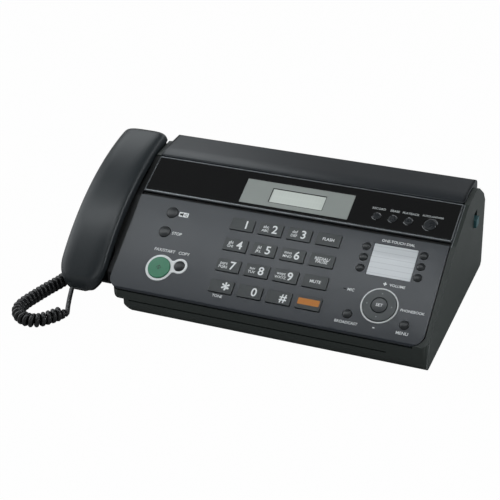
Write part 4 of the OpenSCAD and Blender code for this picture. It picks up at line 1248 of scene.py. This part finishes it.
@dataclass
class Keypad:
    """The sixteen rectangular keys with their digits and letters."""

    panel: ControlPanel
    top: float = 1.15
    marks: tuple[tuple[str, str, str], ...] = (
        ("key_1", "1", ""), ("key_2", "2", "ABC"), ("key_3", "3", "DEF"),
        ("key_flash", "FLASH", ""),
        ("key_4", "4", "GHI"), ("key_5", "5", "JKL"), ("key_6", "6", "MNO"),
        ("key_redial", "REDIAL/\nPAUSE", ""),
        ("key_7", "7", "PQRS"), ("key_8", "8", "TUV"), ("key_9", "9", "WXYZ"),
        ("key_mute", "MUTE", ""),
        ("key_star", "*", ""), ("key_0", "0", ""), ("key_hash", "#", ""), ("key_dial_mode", "", ""))

    def cap(self) -> bpy.types.Object:
        """Returns one bare key, at the panel's origin, with its rounded top."""
        width, depth = self.panel.key
        low = -PLATE_T - SKIRT
        item = Bench.box("key_blank", (0, 0, low), (width, depth, self.top), 0.0)
        with Bench.editing(item):
            Bench.pick(item, "EDGE", lambda e: abs(e.verts[0].co.z - e.verts[1].co.z) > 1)
            bpy.ops.mesh.bevel(offset=0.8, segments=4, affect="EDGES")
            Bench.pick(item, "EDGE", lambda e: all(v.co.z > self.top - 0.01 for v in e.verts))
            bpy.ops.mesh.bevel(offset=0.45, segments=4, affect="EDGES")
        skirt = Bench.box("key_skirt", (-1, -1, low), (width + 1, depth + 1, low + 1.2), 0.2)
        return Bench.shade(Bench.join("key_blank", [item, skirt]), 50)

    def build(self) -> None:
        """Copies the key to its sixteen places and prints a word or a plain bar on each."""
        blank = self.cap()
        for index, (node, main, letters) in enumerate(self.marks):
            x, s = self.panel.key_outline(index, 0.0, 0.0)[0]
            cap = Bench.dress(Bench.clone(blank, node + "_cap", (x, s, 0)), Look.KEY)
            if main:
                prints = [Bench.dress(word.mesh(self.top), Look.WHITE_INK)
                          for word in self.words(x, s, main, letters)]
            else:
                bar = Bench.plate("bar", [rectangle(x + 1.3, s + 4.2, x + 21.3, s + 10.2, 0.3)],
                                  1.1, 1.2, 0.02)
                prints = [Bench.dress(bar, Look.ORANGE_INK)]
            item = Bench.join(node + "_cap", [cap, *prints])
            Bench.settle(item, PANEL, node, None, [node])
        bpy.data.objects.remove(blank)

    def words(self, x: float, s: float, main: str, letters: str) -> list[Word]:
        """Returns a key's printed words, with its corner at (x, s)."""
        middle = s + self.panel.key[1] / 2
        if len(main) > 1:
            lines = main.split("\n")
            return [Word(line, x + self.panel.key[0] / 2,
                         middle + 1.5 * (len(lines) - 1 - 2 * i), 2.9, 0.045)
                    for i, line in enumerate(lines)]
        drop, height = (2.6, 12.5) if main == "*" else (0, 8.1)
        words = [Word(main, x + 15.4, middle - drop, height, 0.05)]
        if letters:
            words += [Word(letters.lower(), x + 6.7, middle + 1.9, 2.9),
                      Word(letters, x + 6.7, middle - 1.9, 2.6)]
        return words


# ------------------------------------------------------------------ handset


def ease(share: float) -> float:
    """Returns a share from 0 to 1 with a soft start and end."""
    share = min(1.0, max(0.0, share))
    return share * share * (3 - 2 * share)


@dataclass
class Handset:
    """The arched handset: its crowned back shell and its inner shell with both cups."""

    length: float = 187.0
    width: float = 46.0
    rise: float = 30.0
    arch_radius: float = 235.0
    apex: float = 86.0
    split_depth: float = 11.0
    inset: float = 2.5
    nose: float = 26.0
    tail: float = 11.0
    mouth: float = -3.0
    mouth_end: float = 42.0
    grip: float = 6.0
    ear: float = -10.0
    ear_length: float = 40.0
    ramp: float = 10.0
    round_front: float = 9.0
    round_rear: float = 8.0
    round_drop: float = 7.0
    crown_steps: int = 36

    def arch(self, s: float) -> float:
        """Returns the height of the arched back at s."""
        sagitta = self.arch_radius - math.sqrt(self.arch_radius ** 2 - (s - self.apex) ** 2)
        return self.rise - sagitta

    def top(self, s: float) -> float:
        """Returns the height of the back with its rounded ends."""
        front = max(0.0, (self.round_front - s) / self.round_front)
        rear = max(0.0, (s - self.length + self.round_rear) / self.round_rear)
        return self.arch(s) - self.round_drop * (front ** 2 + rear ** 2) - 0.1

    def split(self, s: float) -> float:
        """Returns the height of the seam between the two shells."""
        return min(self.arch(s) - self.split_depth, self.top(s) - 1)

    def inner(self, s: float) -> float:
        """Returns the height of the inner side: mouth, grip and ear cup."""
        start = self.mouth_end + self.ramp
        end = self.length - self.ear_length - self.ramp
        if s < self.mouth_end:
            return self.mouth + 5 * ease((5 - s) / 5)
        if s < start:
            return self.mouth + (self.grip - self.mouth) * ease((s - self.mouth_end) / self.ramp)
        if s < end:
            return self.grip + 3 * math.sin(math.pi * (s - start) / (end - start))
        if s < end + self.ramp:
            return self.grip + (self.ear - self.grip) * ease((s - end) / self.ramp)
        return self.ear + 8 * ease((s - self.length + 7) / 7)

    def half(self, s: float, width: float) -> float:
        """Returns the half width at s, which narrows at both ends."""
        end = self.length - self.tail
        if s < self.nose:
            return width * math.sqrt(1 - ((self.nose - s) / self.nose) ** 2.4 * 0.86)
        if s > end:
            return width * math.sqrt(1 - ((s - end) / self.tail) ** 2.4 * 0.75)
        return width

    def stations(self, count: int) -> list[float]:
        """Returns places along the handset, closer together at its ends."""
        return [self.length * (0.5 - 0.5 * math.cos(math.pi * i / count)) for i in range(count + 1)]

    @staticmethod
    def loft(name: str, rings: list[list[Point3]]) -> bpy.types.Object:
        """Shapes a grid into a closed shell through rings of points, and rounds its end faces."""
        across, along = len(rings[0]), len(rings)
        item = Bench.make(name, bpy.ops.mesh.primitive_grid_add, x_subdivisions=across,
                          y_subdivisions=along - 1, size=2)
        for vertex in item.data.vertices:
            column = round((vertex.co.x + 1) / 2 * across) % across
            row = round((vertex.co.y + 1) / 2 * (along - 1))
            vertex.co = rings[row][column]
        with Bench.editing(item):
            bpy.ops.mesh.select_all(action="SELECT")
            bpy.ops.mesh.remove_doubles(threshold=0.001)
            bpy.ops.mesh.select_mode(type="EDGE")
            bpy.ops.mesh.select_all(action="DESELECT")
            bpy.ops.mesh.select_non_manifold()
            bpy.ops.mesh.fill_holes(sides=0)
            Bench.pick(item, "EDGE", lambda e: any(len(f.verts) > 8 for f in e.link_faces))
            bpy.ops.mesh.bevel(offset=1.1, segments=4, affect="EDGES")
            bpy.ops.mesh.select_all(action="SELECT")
            bpy.ops.mesh.normals_make_consistent(inside=False)
        return Bench.shade(item, 38)

    def ring(self, half: float, s: float, seam: float, crown: float,
             powers: Point2) -> list[Point3]:
        """Returns a shell's section: a crown over the seam, then the flat seam back again.

        Args:
            half: half the section's width; below zero the ring runs the other way round.
            s: the section's place along the handset.
            seam: the height of the seam.
            crown: the height of the crown's middle.
            powers: how square the crown is, across and up.

        Returns:
            The section's points.
        """
        points: list[Point3] = []
        for angle in (math.pi * k / self.crown_steps for k in range(self.crown_steps + 1)):
            c, d = math.cos(angle), math.sin(angle)
            points.append((half * math.copysign(abs(c) ** powers[0], c), s,
                           seam + (crown - seam) * max(0.0, d) ** powers[1]))
        return points + [(half * x, s, seam) for x in (-0.9, -0.4, 0.4, 0.9)]

    def back(self) -> bpy.types.Object:
        """Returns the crowned back shell."""
        rings = [self.ring(self.half(s, self.width / 2), s, self.split(s), self.top(s), (0.5, 0.62))
                 for s in self.stations(96)]
        return self.loft("handset_back_shell", rings)

    def front(self) -> bpy.types.Object:
        """Returns the inner shell with its mouth and ear cups."""
        rings = []
        for s in self.stations(140):
            half, seam = self.half(s, self.width / 2 - self.inset), self.split(s)
            rings.append(self.ring(-half, s, seam, min(self.inner(s), seam - 1), (0.4, 0.4)))
        return self.loft("handset_front_shell", rings)

    def build(self) -> None:
        """Builds both shells."""
        Bench.settle(self.back(), CRADLE, "handset", Look.HANDSET, ["handset_back"])
        # The inner shell takes the darker copy of the handset plastic: painted shade.
        Bench.settle(self.front(), CRADLE, "handset", Look.HANDSET_IN, ["handset_front"])


# ------------------------------------------------------------------ cord


# Points between two of a route's own while its curve is measured.
FINE = 40


def smooth_path(points: Sequence[Point3], step: float) -> list[Vector]:
    """Returns a Catmull-Rom curve through points, at even steps.

    Args:
        points: the route's points, in millimetres.
        step: the distance between returned points.

    Returns:
        The curve's points.
    """
    knots = [Vector(p) for p in points]
    knots = [knots[0] * 2 - knots[1], *knots, knots[-1] * 2 - knots[-2]]
    dense: list[Vector] = []
    for a, b, c, d in zip(knots, knots[1:], knots[2:], knots[3:]):
        for t in (i / FINE for i in range(FINE)):
            dense.append(0.5 * ((2 * b) + (c - a) * t + (2 * a - 5 * b + 4 * c - d) * t ** 2
                                + (3 * b - a - 3 * c + d) * t ** 3))
    dense.append(knots[-2])
    out, carried = [dense[0]], 0.0
    for a, b in zip(dense, dense[1:]):
        run = (b - a).length
        while carried + run >= step:
            share = (step - carried) / run
            a = a.lerp(b, share)
            run = (b - a).length
            carried = 0.0
            out.append(a.copy())
        carried += run
    if (out[-1] - dense[-1]).length > step * 0.4:
        out.append(dense[-1])
    return out


@dataclass
class CurlyCord:
    """The handset's curly cord: a straight lead, the coil on the desk and the lead to the nose."""

    wire: float = 4.6
    outer: float = 13.4
    pitch: float = 4.95
    per_turn: int = 14
    opening: int = 11
    lead_step: float = 1.2
    overlap: int = 3
    lead_in: tuple[Point3, ...] = (
        (-343, 78, 14), (-348, 78, 13), (-353, 75, 9), (-356, 69.5, 6.8), (-357, 65, 6.5),
        (-358, 62, 6.5))
    coil: tuple[Point2, ...] = (
        (-358, 62), (-357.8, 48), (-358.6, 33), (-360.6, 19), (-365.9, 3), (-370.2, -12),
        (-373.2, -23.5), (-374.4, -33), (-371.9, -41.5), (-365, -48.3), (-356, -50.8),
        (-347.5, -48.4), (-340.8, -41.6), (-335.8, -34.5), (-331.5, -28))
    lead_out: tuple[Point3, ...] = (
        (-331.5, -28, 6.75), (-329.2, -29, 5), (-328.4, -28.6, 5.6), (-328.9, -26.5, 7.2),
        (-330.6, -21.5, 10), (-332.6, -14, 14), (-334.5, -5.6, 18.4))

    def centreline(self) -> list[Vector]:
        """Returns the wire's own line, in millimetres of the level frame."""
        radius = (self.outer - self.wire) / 2
        axis = smooth_path([(x, y, self.outer / 2 + 0.05) for x, y in self.coil],
                           self.pitch / self.per_turn)
        last = len(axis) - 1
        line = smooth_path(self.lead_in, self.lead_step)[:-self.overlap]
        for i, point in enumerate(axis):
            ahead = (axis[min(i + 1, last)] - axis[max(i - 1, 0)]).normalized()
            side = ahead.cross(Vector((0, 0, 1))).normalized()
            turn = 2 * math.pi * i / self.per_turn
            across = math.cos(turn) * side + math.sin(turn) * side.cross(ahead)
            line.append(point + radius * ease(min(i, last - i) / self.opening) * across)
        return line + smooth_path(self.lead_out, self.lead_step)[self.overlap:]

    def build(self) -> None:
        line = self.centreline()
        curve = bpy.data.curves.new("handset_cord", "CURVE")
        curve.dimensions = "3D"
        spline = curve.splines.new("POLY")
        spline.points.add(len(line) - 1)
        for point, place in zip(spline.points, line):
            point.co = (*place, 1.0)
        curve.bevel_depth = self.wire / 2
        curve.bevel_resolution = 2
        curve.use_fill_caps = True
        item = Bench.to_mesh(Bench.put("handset_cord", curve))
        item.name = item.data.name = "handset_cord"
        item.data.transform(LEVEL.matrix())
        Bench.dress(item, Look.CORD)
        Bench.take(item)
        bpy.ops.object.shade_smooth()
        path = [tuple(LEVEL.matrix() @ p) for p in line]
        length = sum((b - a).length for a, b in zip(line, line[1:])) * MM
        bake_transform(item)
        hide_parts("handset_cord_coil", "handset_cord_tails")
        LOG.info("handset_cord: %.3f m of wire, %d points", length, len(line))


# ------------------------------------------------------------------ lettering


@dataclass
class Lettering:
    """The plain function words beside the buttons."""

    panel_words: tuple[Word, ...] = (
        Word("FAX/START", -256.8, 44.2, 3.0), Word("COPY", -237.3, 44.2, 3.0),
        Word("STOP", -251.1, 62.7, 3.0), Word("TONE", -192.7, 9.8, 2.6),
        Word("ONE-TOUCH DIAL", -45.6, 92.1, 2.6), Word("+", -46.8, 50.8, 4.2, 0.12),
        Word("VOLUME", -35.6, 50.8, 2.6), Word("-", -45.9, 9.3, 4.2, 0.12),
        Word("PHONEBOOK", -16.6, 29.7, 2.5), Word("MENU", -20.4, 8.5, 2.9),
        Word("BROADCAST", -70.9, 8.8, 2.6), Word("MIC", -75.0, 39.8, 2.7))
    band_words: tuple[Word, ...] = (
        Word("RECORD", -73.1, 27.8, 2.3), Word("ERASE", -58.2, 27.8, 2.3),
        Word("PLAYBACK", -43.4, 27.8, 2.3), Word("AUTO-ANSWER", -23.2, 28.4, 1.95))

    def build(self) -> None:
        """Prints the panel's, the band's and the navigator's words."""
        for name, words, slope, look in (("panel_words", self.panel_words, PANEL, Look.WHITE_INK),
                                         ("band_words", self.band_words, BAND, Look.BAND_INK)):
            item = Bench.join(name, [word.mesh(0.0) for word in words])
            Bench.settle(item, slope, "cover", look)
        item = Word("SET", *NAV_AT, 2.9).mesh(1.78)
        item.name = "set_word"
        Bench.settle(item, PANEL, "set_button", Look.WHITE_INK)
        self.signs()

    @staticmethod
    def marks(name: str, groups: Sequence[Sequence[Outline]], low: float, high: float, body: str,
              look: Look) -> None:
        """Prints one flat mark for each group of outlines, all as one piece of the panel."""
        item = Bench.join(name, [Bench.plate("mark", group, low, high, 0.01) for group in groups])
        Bench.settle(item, PANEL, body, look)

    def signs(self) -> None:
        """Prints the loudspeaker's box, the start mark and the navigator's arrows."""
        box = Bench.plate("speaker_box", [rectangle(-255.9, 80.8, -246.3, 85.6, 0.5)],
                          0.0, 0.06, 0.02)
        Bench.settle(box, PANEL, "cover", Look.WHITE_INK)
        horn = [(-254.9, 82.2), (-253.2, 82.2), (-251.4, 81.2), (-251.4, 85.2), (-253.2, 84.2),
                (-254.9, 84.2)]
        waves = [[rectangle(x, 83.2 - h, x + 0.5, 83.2 + h)]
                 for x, h in ((-250.5, 1.0), (-249.3, 1.5), (-248.1, 2.0))]
        self.marks("speaker_glyph", [[horn], *waves], 0.05, 0.1, "cover", Look.DARK_INK)
        x, s = START_AT
        diamond = [[(x + k, s), (x, s + k), (x - k, s), (x, s - k)] for k in (2.4, 1.8)]
        bar = rectangle(x - 0.25, s - 1.7, x + 0.25, s + 1.7)
        self.marks("start_mark", [diamond, [bar]], 1.55, 1.65, "start_button", Look.DARK_INK)
        arrows = []
        for angle in (math.radians(90 * turn) for turn in range(4)):
            c, d = math.cos(angle), math.sin(angle)
            arrows.append([[(NAV_AT[0] + u * c - v * d, NAV_AT[1] + u * d + v * c)
                            for u, v in ((11.9, 0.0), (10.7, 0.9), (10.7, -0.9))]])
        self.marks("navigator_arrows", arrows, 1.58, 1.65, "navigator_disc", Look.GREY_INK)


# ------------------------------------------------------------------ studio


@dataclass(frozen=True)
class Lamp:
    """A soft lamp: its name, place, aim, width and depth, all in metres, and its watts."""

    name: str
    place: Point3
    aim: Point3
    size: Point2
    power: float
    colour: Point3 = (0.93, 0.975, 1.0)

    def hang(self) -> None:
        """Hangs the lamp at its place, facing its aim."""
        data = bpy.data.lights.new(self.name, "AREA")
        data.shape = "RECTANGLE"
        data.size, data.size_y = self.size
        data.color = self.colour
        data.energy = self.power
        item = Bench.put(self.name, data)
        item.location = self.place
        item.rotation_euler = (Vector(self.aim) - item.location).to_track_quat("-Z", "Y").to_euler()


LAMPS = (Lamp("key_lamp", (-1.1, -0.1, 0.7), (-0.05, 0, 0.05), (0.9, 0.9), 4.5),
         Lamp("top_lamp", (-0.1, -0.118, 0.5), (-0.1, -0.118, 0.0), (0.72, 0.05), 0.82),
         Lamp("crown_lamp", (-0.55, 0.62, 0.72), (-0.12, 0.05, 0.1), (0.5, 0.4), 1.3),
         Lamp("rear_lamp", (0.75, 1.3, 0.95), (0.1, 0.1, 0.05), (1.7, 0.5), 4.6),
         Lamp("fill_lamp", (0.9, -1.5, 1.1), (0, 0, 0.05), (1.4, 1.4), 5.5),
         Lamp("side_lamp", (1.3, 0.35, 0.3), (0.17, 0, 0.05), (0.6, 0.5), 6.0))


@dataclass
class Studio:
    """The camera, the plain floor and the world's light."""

    eye: Point3 = (0.40817, -1.00074, 0.67418)
    right: Point3 = (0.92500953, 0.37869381, -0.03079545)
    up: Point3 = (-0.1678649, 0.48005122, 0.86102973)
    ahead: Point3 = (-0.34085002, 0.79129124, -0.50762135)
    lens: float = 96.14
    dim_from: float = 0.75
    low_light: float = 1.25
    high_light: float = 0.12
    front_light: float = 0.4
    right_light: float = 0.35
    floor_glow: float = 0.985

    def camera(self) -> None:
        """Sets up the camera."""
        data = bpy.data.cameras.new("camera")
        data.lens = self.lens
        data.sensor_width = 36.0
        data.clip_start = 0.05
        item = Bench.put("camera", data)
        rows = list(zip(self.right, self.up, (-part for part in self.ahead), self.eye))
        item.matrix_world = Matrix((*rows, (0, 0, 0, 1)))
        bpy.context.scene.camera = item

    def floor(self) -> None:
        """Lays the pale floor, which keeps the object's shadow."""
        item = Bench.make("floor", bpy.ops.mesh.primitive_plane_add, size=12.0)
        tree = Tree("floor_white")
        cloud = tree.noise(tree.place(), 0.4)
        tree.set(Base_Color=tree.mix(cloud, (0.4, 0.4, 0.4), (0.43, 0.43, 0.43)), Roughness=0.9)
        glow = tree.add("ShaderNodeEmission", {}, {"Color": (1, 1, 1), "Strength": 1.0})
        tree.choose(tree.seen() * self.floor_glow, Value(tree, tree.shader.outputs[0]), glow)
        item.data.materials.append(tree.material)

    def world(self) -> None:
        """Makes the world a plain light, dim overhead and brighter low down, white to the eye."""
        world = bpy.data.worlds.new("studio_world")
        bpy.context.scene.world = world
        tree = Nodes(world, "ShaderNodeOutputWorld")
        x, y, z = tree.axes(tree.add("ShaderNodeTexCoord", {}, {}).out("Generated"))
        levels = []
        for value, span, ends in (
                (z, (0.0, self.dim_from), (self.low_light, self.high_light)),
                (y.math("ABSOLUTE"), (0.1, 0.8), (1.0, self.front_light)),
                (x, (-0.1, 0.5), (1.0, self.right_light))):
            levels.append(tree.add("ShaderNodeMapRange", {}, {
                "Value": value, "From Min": span[0], "From Max": span[1],
                "To Min": ends[0], "To Max": ends[1]}))
        height, depth, side = levels
        dim, white = (
            tree.add("ShaderNodeBackground", {}, {"Color": (1, 1, 1), "Strength": strength})
            for strength in (height * (depth * side), 1.0))
        tree.choose(tree.seen(), dim, white)

    def build(self) -> None:
        """Sets up camera, floor, world and lamps."""
        self.camera()
        self.floor()
        self.world()
        for lamp in LAMPS:
            lamp.hang()
        bpy.context.scene.view_settings.view_transform = "Standard"


# ------------------------------------------------------------------ main


def main() -> None:
    """Builds the studio and every sub-assembly."""
    logging.basicConfig(level=logging.INFO, format="%(message)s")
    Studio().build()
    CurlyCord().build()
    panel = ControlPanel()
    band = Band()
    for part in (Case(), Inside(), panel, band, Surrounds(), TopCover(), Keypad(panel), Handset(),
                 Lettering(), Buttons(band)):
        part.build()
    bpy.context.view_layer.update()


if __name__ == "__main__":
    main()
